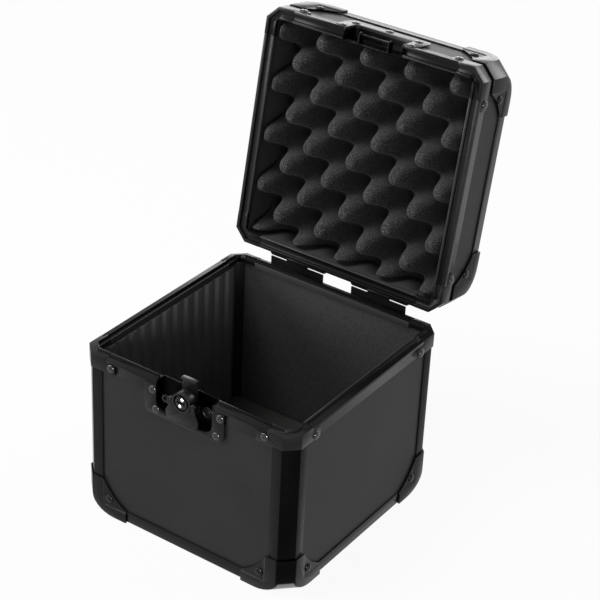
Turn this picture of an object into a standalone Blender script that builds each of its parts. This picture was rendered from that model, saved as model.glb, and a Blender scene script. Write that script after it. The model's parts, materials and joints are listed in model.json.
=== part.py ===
"""A small record carrying case: a square base with a hinged, foam-lined lid, shown open.

Lengths are metres, +Z is up, and the case stands on its lower corner caps at z = 0.
Everything is modelled with the lid closed. The lid's pieces then ride on an empty on the
hinge axis, which turns them to the open angle.

Two local frames are used throughout:
  side frame    x along the side, y inward from the edging's outer face, z up
  corner frame  x and y inward from the sharp corner of the two outer faces, z up
"""
import math

import bmesh
import bpy
from mathutils import Matrix, Vector

# Outside of the case, over the flanges of its edging
CASE_WIDTH = 0.210
CASE_DEPTH = 0.210
BASE_HEIGHT = 0.1542            # underside of the edging up to the meeting plane
LID_HEIGHT = 0.0520             # meeting plane up to the top of the edging
CORNER_CHAMFER = 0.0100
OPEN_ANGLE = math.radians(100.7)

# Gaps: between pieces that touch, and past a cut
FIT_GAP = 0.0003
OVERRUN = 0.0040

# Edging: the extruded posts, the ring under the floor and the ring over the lid
FLANGE_THICK = 0.0008
POST_FLANGE = 0.0202            # how far a post covers each face, from the sharp corner
POST_CORE = 0.0130              # where the wall panels stop, from the sharp corner
EDGING_FLANGE = 0.0100          # how far a ring covers a wall
EDGING_LIP = 0.0120             # how far a ring covers the floor or the top

# Laminated panels
PANEL_THICK = 0.0060

# Rim profiles round the two mouths
RIM_FLANGE = 0.0130             # how far a rim covers a wall, from the meeting plane
RIM_BEAD = 0.0035               # height of the proud bead at the mouth
RIM_PROUD = 0.0010
RIM_WEB = 0.0042                # depth of the rim over the panel's edge
RIM_WIDTH = 0.0090
RIM_INNER_LEG = 0.0055
RIM_MEETING_GAP = 0.00015       # each rim stops this far short of the meeting plane
TONGUE_INSET = 0.0048
TONGUE_THICK = 0.0014
TONGUE_HEIGHT = 0.0024
GROOVE_LIP = 0.0028             # thickness of the lid rim's outer wall, from its proud face
GROOVE_DEPTH = 0.0030
GROOVE_SIDE_GAP = 0.0007

# Corner braces over the rims
BRACE_TOP_REACH = 0.0245        # end of the brace's stepped top, from the sharp corner
BRACE_PLATE_REACH = 0.0345      # end of its outer plate
BRACE_SKIN = 0.0008

# Pressed corner caps
CAP_SKIN = 0.0012
CAP_ARM = 0.0450
CAP_HEIGHT = 0.0355
CAP_ARM_WIDTH = 0.0115
CAP_SHOULDER = 0.0210
CAP_RECESS = 0.0006             # the arms are pressed back, but for a border along the foot
CAP_RECESS_START = 0.0220
CAP_BORDER = 0.0100
CAP_ROUND = 0.0160
CAP_ROUND_STEPS = 7
# The edge of a cap between its shoulder and its arm, as shares of the way across and down
CAP_EDGE_SHARES = ((0.24, 0.37), (0.52, 0.67), (0.80, 0.88))

# Ribbed liners on the two side walls
LINER_BACK = 0.0012
LINER_RIB = 0.0024
LINER_RIB_COUNT = 12
LINER_END_GAP = 0.0040
LINER_FLOOR_GAP = 0.0010
LINER_TOP_GAP = 0.0005
# A rib over its pitch: foot, shoulder, shoulder, foot
LINER_RIB_SHARES = (0.12, 0.30, 0.70, 0.88)

# Latch dish in the front of the base, keeper dish in the front of the lid
DISH_HALF_WIDTH = 0.0280
DISH_DROP = 0.0280              # bottom of the latch opening below the meeting plane
DISH_CORNER = 0.0090
DISH_WALL = 0.0010
DISH_DEPTH = 0.0096             # floor of the dish behind the edging's outer face
PLATE_HALF_WIDTH = 0.0397
PLATE_DROP = 0.0320
PLATE_THICK = 0.0010
PLATE_CORNER = 0.0060
KEEPER_RISE = 0.0180            # top of the keeper opening above the meeting plane
KEEPER_CORNER = 0.0040
KEEPER_PLATE_RISE = 0.0300
ROUND_STEPS = 4

# Keeper bar and its two ears
BAR_INSET = 0.0026
BAR_RISE = 0.0045
BAR_RADIUS = 0.0014
BAR_HALF_LENGTH = 0.0135
EAR_THICK = 0.0018
EAR_HALF_HEIGHT = 0.0028

# Rotor, its eccentric and its lock plug
ROTOR_DROP = 0.0075             # rotor axis below the meeting plane
ROTOR_RADIUS = 0.0088
ROTOR_PROUD = 0.0025
ROTOR_BACK = 0.0033
ROTOR_RIM = 0.0012
ROTOR_FACE_SINK = 0.0008
CAM_RADIUS = 0.0032
CAM_THROW = 0.0010
CAM_BACK = 0.0076
AXLE_RADIUS = 0.0016
TRUNNION_RADIUS = 0.0010
TRUNNION_REACH = 0.0130
PLUG_RADIUS = 0.0058
PLUG_PROUD = 0.0022
PLUG_DEPTH = 0.0040
KEYWAY_WIDTH = 0.0014
KEYWAY_LENGTH = 0.0084
KEYWAY_DEPTH = 0.0020

# Folding wing
WING_THICK = 0.0018
WING_GAP = 0.0006               # from the dish plate to the wing's back
WING_ROTOR_GAP = 0.0004
WING_ARM_HALF = 0.0122
WING_WAIST_HALF = 0.0135
WING_FLARE_HALF = 0.0165
WING_TIP_HALF = 0.0150
WING_WAIST_DROP = 0.0070        # these drops are below the rotor's axis
WING_FLARE_DROP = 0.0135
WING_DROP = 0.0195
WING_KNUCKLE_RADIUS = 0.0019
WING_KNUCKLE_START = 0.0095
WING_EAR_OUT = 0.0166
WING_EAR_DROP = 0.0030
WING_EAR_RADIUS = 0.0034
WING_EAR_HOLE = 0.0017

# Hook and the slide that carries it
HOOK_INSET = 0.0044
HOOK_THICK = 0.0016
HOOK_HALF_WIDTH = 0.0072
HOOK_PIVOT_DROP = 0.0185        # hook pivot below the meeting plane, latch released
HOOK_FINGER_THICK = 0.0018
HOOK_OVER_BAR = 0.0003
HOOK_SLOT_SIDE_GAP = 0.0005
HOOK_SLOT_END_GAP = 0.00045
HOOK_EYE_RADIUS = 0.0024
HOOK_PIN_RADIUS = 0.0010
HOOK_SWING = math.radians(5.4)
SLIDE_THICK = 0.0014
SLIDE_HALF_WIDTH = 0.0092
SLIDE_ABOVE_PIVOT = 0.0045
SLIDE_BELOW_PIVOT = 0.0070
LUG_THICK = 0.0014
LUG_HALF_HEIGHT = 0.0020

# Hinges
HINGE_BRACE_GAP = 0.0007        # from a hinge's end to the corner brace beside it
HINGE_MIDDLE_GAP = 0.0296       # between the two hinges
HINGE_AXIS_BEHIND = 0.0040
HINGE_AXIS_ABOVE = 0.0092
LEAF_THICK = 0.0012
LEAF_DROP = 0.0220
LEAF_RISE = 0.0300
KNUCKLE_RADIUS = 0.0026
KNUCKLE_CLEARANCE = 0.0003
KNUCKLE_SHARE = 0.40            # the lower leaf's knuckle as a share of the hinge
HINGE_PIN_RADIUS = 0.0012
PIN_HEAD_RADIUS = 0.0019
PIN_HEAD = 0.0010
STOP_LUG_THICK = 0.0014
STOP_LUG_REACH = 0.0062

# Carrying handle on the lid
HANDLE_PLATE_END = 0.0075       # how far the plate runs past its ears
HANDLE_PLATE_WIDTH = 0.0180
HANDLE_PLATE_THICK = 0.0015
HANDLE_EAR_OFFSET = 0.0560
HANDLE_EAR_THICK = 0.0030
HANDLE_EAR_RADIUS = 0.0045
HANDLE_AXIS_HEIGHT = 0.0100
HANDLE_WIRE_RADIUS = 0.0020
HANDLE_WIRE_OVERHANG = 0.0030
HANDLE_DROP = 0.0260
HANDLE_BEND = 0.0070
HANDLE_GRIP_END_GAP = 0.0042    # from the grip's end to the start of the bail's bend
HANDLE_GRIP_RADIUS = 0.0072
BEND_STEPS = 4

# Egg-crate foam in the lid
FOAM_BACK = 0.0080
FOAM_TIP_GAP = 0.0021           # from the lid's mouth up to the tips
FOAM_PITCH = 0.0434             # between bumps along a row
FOAM_ROW = 0.0227               # between rows, which are staggered by half a pitch
FOAM_START_X = -0.0043          # a tip's place from the middle of the lid
FOAM_START_Y = 0.0060
FOAM_SLANT = 0.029              # how far the rows lean sideways, for each unit towards the back
FOAM_SIDE_GAP = 0.0005
FOAM_CELLS = 60
FOAM_TAPER = 1.45
FOAM_EDGE_ROUND = 0.0035        # how far in from the pad's edge the fingers are rounded off

# Places worked out from the sizes above
HINGE_WIDTH = CASE_WIDTH / 2 - BRACE_PLATE_REACH - HINGE_BRACE_GAP - HINGE_MIDDLE_GAP / 2
HINGE_OFFSET = (HINGE_MIDDLE_GAP + HINGE_WIDTH) / 2
CAP_PROUD = CAP_SKIN + FIT_GAP
EDGING_Z = CAP_PROUD
MEETING_Z = EDGING_Z + BASE_HEIGHT
LID_TOP_Z = MEETING_Z + LID_HEIGHT
PANEL_FACE = FLANGE_THICK + FIT_GAP
PANEL_BACK = PANEL_FACE + PANEL_THICK
WALL_END = PANEL_BACK + FIT_GAP         # where a wall stops over the floor or under the top
RIM_SEAT = RIM_WEB + FIT_GAP            # where a wall stops short of the meeting plane
GROOVE_LAND = GROOVE_LIP - RIM_PROUD
PLATE_FACE = FIT_GAP + PLATE_THICK      # how far a dish plate stands out
HINGE_AXIS = Vector((0.0, CASE_DEPTH / 2 + HINGE_AXIS_BEHIND, MEETING_Z + HINGE_AXIS_ABOVE))
ROTOR_AXIS = Vector((0.0, -CASE_DEPTH / 2, MEETING_Z - ROTOR_DROP))
HOOK_TRAVEL = 2 * CAM_THROW
HOOK_AXIS_INSET = HOOK_INSET + HOOK_THICK / 2
HOOK_AXIS = Vector((0.0, -CASE_DEPTH / 2 + HOOK_AXIS_INSET, MEETING_Z - HOOK_PIVOT_DROP))
WING_AXIS_PROUD = PLATE_FACE + WING_GAP + WING_THICK / 2
WING_AXIS = Vector((0.0, -CASE_DEPTH / 2 - WING_AXIS_PROUD, MEETING_Z - ROTOR_DROP))
HANDLE_AXIS = Vector((0.0, 0.0, LID_TOP_Z - PANEL_FACE + HANDLE_AXIS_HEIGHT))
HANDLE_HANG = OPEN_ANGLE - math.pi / 2  # how far the handle hangs off the open lid's top
# From the base's upright frame to the closed lid's upside-down one
OVER = Matrix.Translation((0.0, 0.0, LID_TOP_Z + CAP_PROUD)) @ Matrix.Diagonal((1.0, 1.0, -1.0, 1.0))

# Sides and corners in the order of their quarter turns
SIDES = ("front", "right", "back", "left")
CORNERS = ("front_left", "front_right", "back_right", "back_left")


# Finishes: colour, roughness and metallic value
FINISHES = {
    "laminate": ((0.045, 0.045, 0.047), 0.62, 0.0),
    "plywood": ((0.040, 0.038, 0.036), 0.80, 0.0),
    "black_aluminium": ((0.030, 0.030, 0.032), 0.38, 0.8),
    "black_steel": ((0.022, 0.022, 0.024), 0.32, 0.7),
    "liner": ((0.018, 0.018, 0.019), 0.70, 0.0),
    "foam": ((0.014, 0.014, 0.015), 0.95, 0.0),
    "rubber": ((0.016, 0.016, 0.016), 0.65, 0.0),
}


def material(finish):
    """Return the named finish's material, making it the first time."""
    found = bpy.data.materials.get(finish)
    if found:
        return found
    made = bpy.data.materials.new(finish)
    made.use_nodes = True
    shader = made.node_tree.nodes["Principled BSDF"]
    colour, roughness, metallic = FINISHES[finish]
    shader.inputs["Base Color"].default_value = (*colour, 1.0)
    shader.inputs["Roughness"].default_value = roughness
    shader.inputs["Metallic"].default_value = metallic
    return made


# Frames that an outline can be drawn in, as the matrix from (across, up, through)
PLAN = Matrix.Identity(4)                                           # x, y; extruded along z
SECTION = Matrix(((0, 0, 1, 0), (1, 0, 0, 0), (0, 1, 0, 0), (0, 0, 0, 1)))  # y, z; along x
FACE = Matrix(((1, 0, 0, 0), (0, 0, -1, 0), (0, 1, 0, 0), (0, 0, 0, 1)))    # x, z; along -y
SWAP_XY = Matrix(((0, 1, 0, 0), (1, 0, 0, 0), (0, 0, 1, 0), (0, 0, 0, 1)))


def new_object(name, mesh):
    """Put a mesh in the scene as an object of its own."""
    made = bpy.data.objects.new(name, mesh)
    bpy.context.scene.collection.objects.link(made)
    return made


def mesh_of(obj):
    """Return a mesh of what an object evaluates to, welded and facing outwards."""
    graph = bpy.context.evaluated_depsgraph_get()
    mesh = bpy.data.meshes.new_from_object(obj.evaluated_get(graph))
    work = bmesh.new()
    work.from_mesh(mesh)
    bmesh.ops.remove_doubles(work, verts=work.verts, dist=WELD)
    bmesh.ops.recalc_face_normals(work, faces=work.faces)
    work.to_mesh(mesh)
    work.free()
    return mesh


WELD = 0.000001


def prism(outline, start, end, frame=PLAN, holes=()):
    """Extrude a flat outline from start to end along its frame's third direction."""
    if frame is FACE:
        start, end = -end, -start
    curve = bpy.data.curves.new("outline", "CURVE")
    curve.dimensions = "2D"
    curve.fill_mode = "BOTH"
    curve.extrude = (end - start) / 2
    for loop in (outline, *holes):
        spline = curve.splines.new("POLY")
        spline.points.add(len(loop) - 1)
        for point, (across, up) in zip(spline.points, loop):
            point.co = (across, up, 0.0, 1.0)
        spline.use_cyclic_u = True
    flat = new_object("outline", curve)
    mesh = mesh_of(flat)
    bpy.data.objects.remove(flat)
    mesh.transform(frame @ Matrix.Translation((0.0, 0.0, (start + end) / 2)))
    return new_object("prism", mesh)


def cylinder(radius, start, end, centre=Vector(), direction="X", sides=20):
    """A cylinder along X, Y or Z from start to end, with its axis through the centre."""
    work = bmesh.new()
    bmesh.ops.create_cone(work, cap_ends=True, segments=sides, radius1=radius, radius2=radius,
                          depth=end - start)
    bmesh.ops.translate(work, verts=work.verts, vec=(0.0, 0.0, (start + end) / 2))
    turn = {"X": Matrix.Rotation(math.pi / 2, 4, "Y"), "Z": Matrix.Identity(4),
            "Y": Matrix.Rotation(-math.pi / 2, 4, "X")}[direction]
    bmesh.ops.transform(work, verts=work.verts, matrix=Matrix.Translation(centre) @ turn)
    mesh = bpy.data.meshes.new("cylinder")
    work.to_mesh(mesh)
    work.free()
    return new_object("cylinder", mesh)


def box(low, high):
    """A box between two corners."""
    work = bmesh.new()
    bmesh.ops.create_cube(work, size=1.0)
    size = Vector(high) - Vector(low)
    bmesh.ops.scale(work, verts=work.verts, vec=size)
    bmesh.ops.translate(work, verts=work.verts, vec=(Vector(low) + Vector(high)) / 2)
    mesh = bpy.data.meshes.new("box")
    work.to_mesh(mesh)
    work.free()
    return new_object("box", mesh)


def moved(obj, matrix):
    """Move an object's mesh by a matrix, keeping its faces outwards."""
    obj.data.transform(matrix)
    if matrix.is_negative:
        obj.data.flip_normals()
    return obj


def shaped(body, joined=(), cut=()):
    """Join some solids to a body, cut others from it, and return the finished mesh."""
    for operation, tools in (("UNION", joined), ("DIFFERENCE", cut)):
        for tool in tools:
            modifier = body.modifiers.new(operation.lower(), "BOOLEAN")
            modifier.operation = operation
            modifier.solver = "EXACT"
            modifier.object = tool
    bpy.context.view_layer.update()
    mesh = mesh_of(body)
    for used in (body, *joined, *cut):
        bpy.data.objects.remove(used)
    return mesh


def arc(centre, radius, first, last, steps):
    """Points of an arc, from the first angle to the last, both ends included."""
    cx, cy = centre
    turns = [first + (last - first) * step / steps for step in range(steps + 1)]
    return [(cx + radius * math.cos(turn), cy + radius * math.sin(turn)) for turn in turns]


def mirror_x(points):
    """The same points across x = 0, in the other order, so that an outline runs on."""
    return [(-across, up) for across, up in reversed(points)]


def chamfered_rectangle(inset):
    """The case's plan, moved inward by an inset, with its corners cut."""
    half_x = CASE_WIDTH / 2 - inset
    half_y = CASE_DEPTH / 2 - inset
    cut = CORNER_CHAMFER - inset * (2 - math.sqrt(2))
    return [(half_x - cut, -half_y), (half_x, cut - half_y), (half_x, half_y - cut),
            (half_x - cut, half_y), (cut - half_x, half_y), (-half_x, half_y - cut),
            (-half_x, cut - half_y), (cut - half_x, -half_y)]


def corner_band(outer, inner, reach):
    """Plan of a band round a corner, between two insets, ending at a reach along each side."""
    outer_cut = CORNER_CHAMFER + outer * (math.sqrt(2) - 1)
    inner_cut = CORNER_CHAMFER + inner * (math.sqrt(2) - 1)
    return [(reach, outer), (reach, inner), (inner_cut, inner), (inner, inner_cut),
            (inner, reach), (outer, reach), (outer, outer_cut), (outer_cut, outer)]


PARTS = "record_case"


def piece(name, mesh, finish, carrier, origin=Vector(), turn=0.0, place=Vector()):
    """Make a named piece of the case from a mesh that lies in the closed case's frame."""
    made = bpy.data.objects.new(name, mesh)
    bpy.data.collections[PARTS].objects.link(made)
    mesh.materials.clear()
    mesh.materials.append(material(finish))
    mesh.shade_smooth()
    mesh.set_sharp_from_angle(angle=math.radians(SMOOTH_BELOW))
    made.parent = carrier
    made.location = place - origin
    made.rotation_euler = (0.0, 0.0, turn)
    return made


SMOOTH_BELOW = 32


def side_place(side):
    """Where a side frame lies in the case, and its turn."""
    centre = {"front": (0.0, -CASE_DEPTH / 2), "right": (CASE_WIDTH / 2, 0.0),
              "back": (0.0, CASE_DEPTH / 2), "left": (-CASE_WIDTH / 2, 0.0)}[side]
    return Vector((*centre, 0.0)), SIDES.index(side) * math.pi / 2


def corner_place(corner):
    """Where a corner frame lies in the case, and its turn."""
    half_x = CASE_WIDTH / 2 if corner.endswith("right") else -CASE_WIDTH / 2
    half_y = CASE_DEPTH / 2 if corner.startswith("back") else -CASE_DEPTH / 2
    return Vector((half_x, half_y, 0.0)), CORNERS.index(corner) * math.pi / 2


def side_length(side):
    """Length of a side between its two sharp corners."""
    return CASE_WIDTH if side in ("front", "back") else CASE_DEPTH


def empty(name, place, parent=None, origin=Vector()):
    """An axis or root that pieces ride on."""
    made = bpy.data.objects.new(name, None)
    bpy.data.collections[PARTS].objects.link(made)
    made.parent = parent
    made.location = place - origin
    return made


# Base box

def wall_notch(drop_side):
    """The opening that a dish needs in a front wall, in the side frame."""
    half = DISH_HALF_WIDTH + DISH_WALL + FIT_GAP
    if drop_side == "base":
        low = MEETING_Z - DISH_DROP - DISH_WALL - FIT_GAP
        high = MEETING_Z + OVERRUN
    else:
        low = MEETING_Z - OVERRUN
        high = MEETING_Z + KEEPER_RISE + DISH_WALL + FIT_GAP
    return box((-half, -OVERRUN, low), (half, PANEL_BACK + OVERRUN, high))


def end_panel():
    """The floor's panel, cut back at its corners to lie inside the caps."""
    panel = prism(chamfered_rectangle(WALL_END), EDGING_Z + PANEL_FACE, EDGING_Z + PANEL_BACK)
    return shaped(panel, cut=feet_cutters())


def base_walls(root):
    """Four laminated walls between the corner posts, and the floor."""
    low = EDGING_Z + WALL_END
    high = MEETING_Z - RIM_SEAT
    for side in SIDES:
        half = side_length(side) / 2 - POST_CORE - FIT_GAP
        wall = box((-half, PANEL_FACE, low), (half, PANEL_BACK, high))
        cuts = [wall_notch("base")] if side == "front" else []
        place, turn = side_place(side)
        piece(f"base_{side}_panel", shaped(wall, cut=cuts), "laminate", root, turn=turn, place=place)
    piece("base_floor_panel", end_panel(), "plywood", root)


def base_posts(root):
    """Chamfered corner extrusions, one mesh for all four."""
    outline = [(POST_FLANGE, 0.0), (POST_FLANGE, FLANGE_THICK), (POST_CORE, FLANGE_THICK),
               (POST_CORE, PANEL_BACK), (PANEL_BACK, POST_CORE), (FLANGE_THICK, POST_CORE),
               (FLANGE_THICK, POST_FLANGE), (0.0, POST_FLANGE), (0.0, CORNER_CHAMFER),
               (CORNER_CHAMFER, 0.0)]
    low = EDGING_Z + EDGING_FLANGE + FIT_GAP
    mesh = shaped(prism(outline, low, MEETING_Z - RIM_SEAT), cut=[foot_cutter(CAP_PROUD)])
    for corner in CORNERS:
        place, turn = corner_place(corner)
        piece(f"base_post_{corner}", mesh.copy(), "black_aluminium", root, turn=turn, place=place)


def edging_ring():
    """A mitred ring of edging round the floor: outer flange, block under the walls, inner lip."""
    high = EDGING_Z + EDGING_FLANGE
    ring = prism(chamfered_rectangle(0.0), EDGING_Z, high, holes=[chamfered_rectangle(EDGING_LIP)])
    over_lip = prism(chamfered_rectangle(PANEL_BACK), EDGING_Z + FLANGE_THICK, high + OVERRUN)
    wall_seat = prism(chamfered_rectangle(FLANGE_THICK), EDGING_Z + PANEL_BACK, high + OVERRUN)
    return shaped(ring, cut=[over_lip, wall_seat, *feet_cutters()])


def rim_outline(inward, tongue):
    """Section of a rim; inward points from the meeting plane into its own half."""
    def level(distance):
        return MEETING_Z + inward * distance
    inner = RIM_WIDTH
    outline = [(-RIM_PROUD, level(RIM_MEETING_GAP)), (-RIM_PROUD, level(RIM_BEAD)),
               (0.0, level(RIM_BEAD)), (0.0, level(RIM_FLANGE)),
               (FLANGE_THICK, level(RIM_FLANGE)), (FLANGE_THICK, level(RIM_WEB)),
               (PANEL_BACK + FIT_GAP, level(RIM_WEB)), (PANEL_BACK + FIT_GAP, level(RIM_INNER_LEG)),
               (inner, level(RIM_INNER_LEG)), (inner, level(RIM_MEETING_GAP))]
    if tongue:
        outline += [(TONGUE_INSET + TONGUE_THICK, level(RIM_MEETING_GAP)),
                    (TONGUE_INSET + TONGUE_THICK, level(-TONGUE_HEIGHT)),
                    (TONGUE_INSET, level(-TONGUE_HEIGHT)), (TONGUE_INSET, level(RIM_MEETING_GAP))]
    else:
        far = TONGUE_INSET + TONGUE_THICK + GROOVE_SIDE_GAP
        outline += [(far, level(RIM_MEETING_GAP)), (far, level(GROOVE_DEPTH)),
                    (GROOVE_LAND, level(GROOVE_DEPTH)), (GROOVE_LAND, level(RIM_MEETING_GAP))]
    return outline


def rims(half, inward, tongue, carrier, origin):
    """Rim lengths between the corner braces; the front has two, one on each side of the dish."""
    outline = rim_outline(inward, tongue)
    dish_side = DISH_HALF_WIDTH + DISH_WALL + FIT_GAP
    for side in SIDES:
        end = side_length(side) / 2 - BRACE_TOP_REACH - FIT_GAP
        place, turn = side_place(side)
        lengths = [("", -end, end)]
        if side == "front":
            lengths = [("_left", -end, -dish_side), ("_right", dish_side, end)]
        for hand, start, finish in lengths:
            mesh = shaped(prism(outline, start, finish, SECTION))
            piece(f"{half}_rim_{side}{hand}", mesh, "black_aluminium", carrier, origin, turn, place)


def braces(half, inward, tongue, carrier, origin):
    """Corner braces: a stepped top that joins two rims, and a plate down the outside."""
    def levels(near, far):
        return sorted((MEETING_Z + inward * near, MEETING_Z + inward * far))
    proud = -FIT_GAP - BRACE_SKIN
    near = -TONGUE_HEIGHT if tongue else RIM_MEETING_GAP
    inside = RIM_WIDTH + OVERRUN
    # Its inner corner is square, so that it leaves the mouth's corner free
    outline = [point for point in corner_band(proud, RIM_WIDTH, BRACE_PLATE_REACH)
               if RIM_WIDTH not in point or BRACE_PLATE_REACH in point]
    outline.insert(2, (RIM_WIDTH, RIM_WIDTH))
    body = prism(outline, *levels(near, RIM_FLANGE))
    cuts = [prism(corner_band(-FIT_GAP, inside, BRACE_TOP_REACH + OVERRUN),
                  *levels(RIM_WEB - FIT_GAP, RIM_FLANGE + OVERRUN))]
    # Past its top, each arm is only the plate, below the rim's bead
    low, step, high = (MEETING_Z + inward * level
                       for level in (near - OVERRUN, RIM_BEAD + FIT_GAP, RIM_FLANGE + OVERRUN))
    past = [(-OVERRUN, low), (-OVERRUN, step), (-FIT_GAP, step), (-FIT_GAP, high),
            (inside, high), (inside, low)]
    for swap in (Matrix.Identity(4), SWAP_XY):
        cuts.append(moved(prism(past, BRACE_TOP_REACH, BRACE_PLATE_REACH + OVERRUN, SECTION), swap))
    far = TONGUE_INSET + TONGUE_THICK
    reach = BRACE_PLATE_REACH + OVERRUN
    if tongue:
        beside = levels(near - OVERRUN, RIM_MEETING_GAP)
        cuts += [prism(corner_band(-OVERRUN, TONGUE_INSET, reach), *beside),
                 prism(corner_band(far, inside, reach), *beside)]
    else:
        cuts.append(prism(corner_band(GROOVE_LAND, far + GROOVE_SIDE_GAP, reach),
                          *levels(-OVERRUN, GROOVE_DEPTH)))
    mesh = shaped(body, cut=cuts)
    for corner in CORNERS:
        place, turn = corner_place(corner)
        piece(f"{half}_brace_{corner}", mesh.copy(), "black_steel", carrier, origin, turn, place)


def foot_cutter(inset):
    """What the rounding of a cap's foot takes off, at an inset from the cap's outside."""
    radius = CAP_ROUND - inset
    edge = [(-OVERRUN, -OVERRUN), (radius, -OVERRUN),
            *arc((radius, radius), radius, -math.pi / 2, -math.pi, CAP_ROUND_STEPS),
            (-OVERRUN, radius)]
    # It runs across the diagonal, along the chamfer
    diagonal = math.sqrt(0.5)
    start = (CORNER_CHAMFER + (inset - CAP_PROUD) * math.sqrt(2)) / 2
    across = Matrix(((diagonal, 0, diagonal, start), (diagonal, 0, -diagonal, start),
                     (0, 1, 0, inset), (0, 0, 0, 1)))
    return moved(prism(edge, -CAP_ARM, CAP_ARM), across)


def feet_cutters():
    """The four feet's roundings, for the pieces that lie inside the caps."""
    return [moved(foot_cutter(CAP_PROUD), Matrix.Translation(place) @ Matrix.Rotation(turn, 4, "Z"))
            for place, turn in map(corner_place, CORNERS)]


def cap_block(inset, overrun):
    """The outside of a corner cap, moved inward by an inset, with its foot rounded off."""
    proud = inset - CAP_PROUD
    cut = CORNER_CHAMFER + proud * (math.sqrt(2) - 1)
    reach = CAP_ARM + overrun
    plan = [(cut, proud), (reach, proud), (reach, reach), (proud, reach), (proud, cut)]
    return new_object("cap_block", shaped(prism(plan, inset, CAP_HEIGHT + overrun), cut=[foot_cutter(inset)]))


def cap_edge():
    """The slanting edge of a cap, from its shoulder out to its arm."""
    run = CAP_ARM - CAP_SHOULDER
    fall = CAP_HEIGHT - CAP_ARM_WIDTH
    return [(CAP_SHOULDER, CAP_HEIGHT),
            *((CAP_SHOULDER + run * across, CAP_HEIGHT - fall * down)
              for across, down in CAP_EDGE_SHARES),
            (CAP_ARM, CAP_ARM_WIDTH)]


def cap_mesh():
    """One pressed corner cap, in the corner frame, with its foot at z = 0."""
    outside = cap_block(0.0, 0.0)
    inside = cap_block(CAP_SKIN, OVERRUN)
    far = CAP_ARM + OVERRUN
    high = CAP_HEIGHT + OVERRUN
    edge = cap_edge()
    waste = [*edge, (far, CAP_ARM_WIDTH), (far, high), (CAP_SHOULDER, high)]
    front_waste = prism(waste, -OVERRUN, far, FACE)
    side_waste = moved(prism(waste, -OVERRUN, far, FACE), SWAP_XY)
    # Underneath, the two arms meet in the same edge
    inner_edge = [(across, up) for across, up in edge if across > up]
    under = [*inner_edge, (far, CAP_ARM_WIDTH), (far, far), (CAP_ARM_WIDTH, far),
             *((up, across) for across, up in reversed(inner_edge))]
    foot_waste = prism(under, -OVERRUN, OVERRUN)
    recesses = [moved(box((CAP_RECESS_START, -OVERRUN, CAP_BORDER),
                          (far, CAP_RECESS - CAP_PROUD, high)), turn)
                for turn in (Matrix.Identity(4), SWAP_XY)]
    return shaped(outside, cut=[inside, front_waste, side_waste, foot_waste, *recesses])


def caps(half, carrier, origin):
    """Corner caps: upright under the base, turned over on the lid."""
    mesh = cap_mesh()
    if half == "lid":
        mesh.transform(OVER @ SWAP_XY)
    for corner in CORNERS:
        place, turn = corner_place(corner)
        piece(f"{half}_cap_{corner}", mesh.copy(), "black_steel", carrier, origin, turn, place)


def liners(root):
    """Ribbed liners that keep the records apart, on the left and right walls."""
    face = PANEL_BACK + FIT_GAP
    half = CASE_DEPTH / 2 - POST_CORE - LINER_END_GAP
    pitch = 2 * half / LINER_RIB_COUNT
    valley = face + LINER_BACK
    crest = valley + LINER_RIB
    front = []
    for rib in range(LINER_RIB_COUNT):
        start = -half + rib * pitch
        for share, depth in zip(LINER_RIB_SHARES, (valley, crest, crest, valley)):
            front.append((start + share * pitch, depth))
    outline = [(-half, face), (-half, valley), *front, (half, valley), (half, face)]
    low = EDGING_Z + PANEL_BACK + LINER_FLOOR_GAP
    high = MEETING_Z - RIM_INNER_LEG - LINER_TOP_GAP
    mesh = shaped(prism(outline, low, high))
    for side in ("left", "right"):
        place, turn = side_place(side)
        piece(f"{side}_rib_liner", mesh.copy(), "liner", root, turn=turn, place=place)


# Latch and keeper

def pocket_outline(half, depth, radius, inward, spread):
    """Outline of a dish's opening with round far corners, made larger all round by a spread."""
    half += spread
    depth += spread
    radius += spread
    near = MEETING_Z + inward * RIM_MEETING_GAP
    far = MEETING_Z + inward * depth
    bend = [(half - radius + radius * math.cos(turn), far - inward * (radius - radius * math.sin(turn)))
            for turn in (step * math.pi / 2 / ROUND_STEPS for step in range(ROUND_STEPS + 1))]
    right = [(half, near), *bend]
    return [*right, *((-across, up) for across, up in reversed(right))]


def dish(opening, plate_depth, inward):
    """A pressed dish: a flat plate outside, and a pocket that is open at the meeting plane."""
    half, depth, radius = opening
    near, step, plate_far, far = (MEETING_Z + inward * level for level in
                                  (-OVERRUN, RIM_BEAD + FIT_GAP, plate_depth, plate_depth + OVERRUN))
    block = prism(pocket_outline(PLATE_HALF_WIDTH, plate_depth, PLATE_CORNER, inward, 0.0),
                  -PLATE_FACE, DISH_DEPTH + DISH_WALL, FACE)
    side = PLATE_HALF_WIDTH + OVERRUN
    shell = pocket_outline(half, depth, radius, inward, DISH_WALL)
    shell[0] = (shell[0][0], near)
    shell[-1] = (shell[-1][0], near)
    around = [*shell, (-side, near), (-side, far), (side, far), (side, near)]
    waste = prism(around, -FIT_GAP, DISH_DEPTH + DISH_WALL + OVERRUN, FACE)
    hollow = pocket_outline(half, depth, radius, inward, 0.0)
    hollow[0] = (hollow[0][0], near)
    hollow[-1] = (hollow[-1][0], near)
    cuts = [waste, prism(hollow, -PLATE_FACE - OVERRUN, DISH_DEPTH, FACE)]
    # The rim's bead runs over the plate, up to the opening
    low, high = sorted((near, step))
    for sign in (-1, 1):
        first, last = sorted((sign * shell[0][0], sign * side))
        cuts.append(box((first, -PLATE_FACE - OVERRUN, low), (last, 0.0, high)))
    return block, cuts


def latch_dish(root):
    """The latch's dish in the front wall."""
    block, cuts = dish((DISH_HALF_WIDTH, DISH_DROP, DISH_CORNER), PLATE_DROP, -1)
    place, turn = side_place("front")
    piece("latch_dish", shaped(block, cut=cuts), "black_steel", root, turn=turn, place=place)


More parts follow.
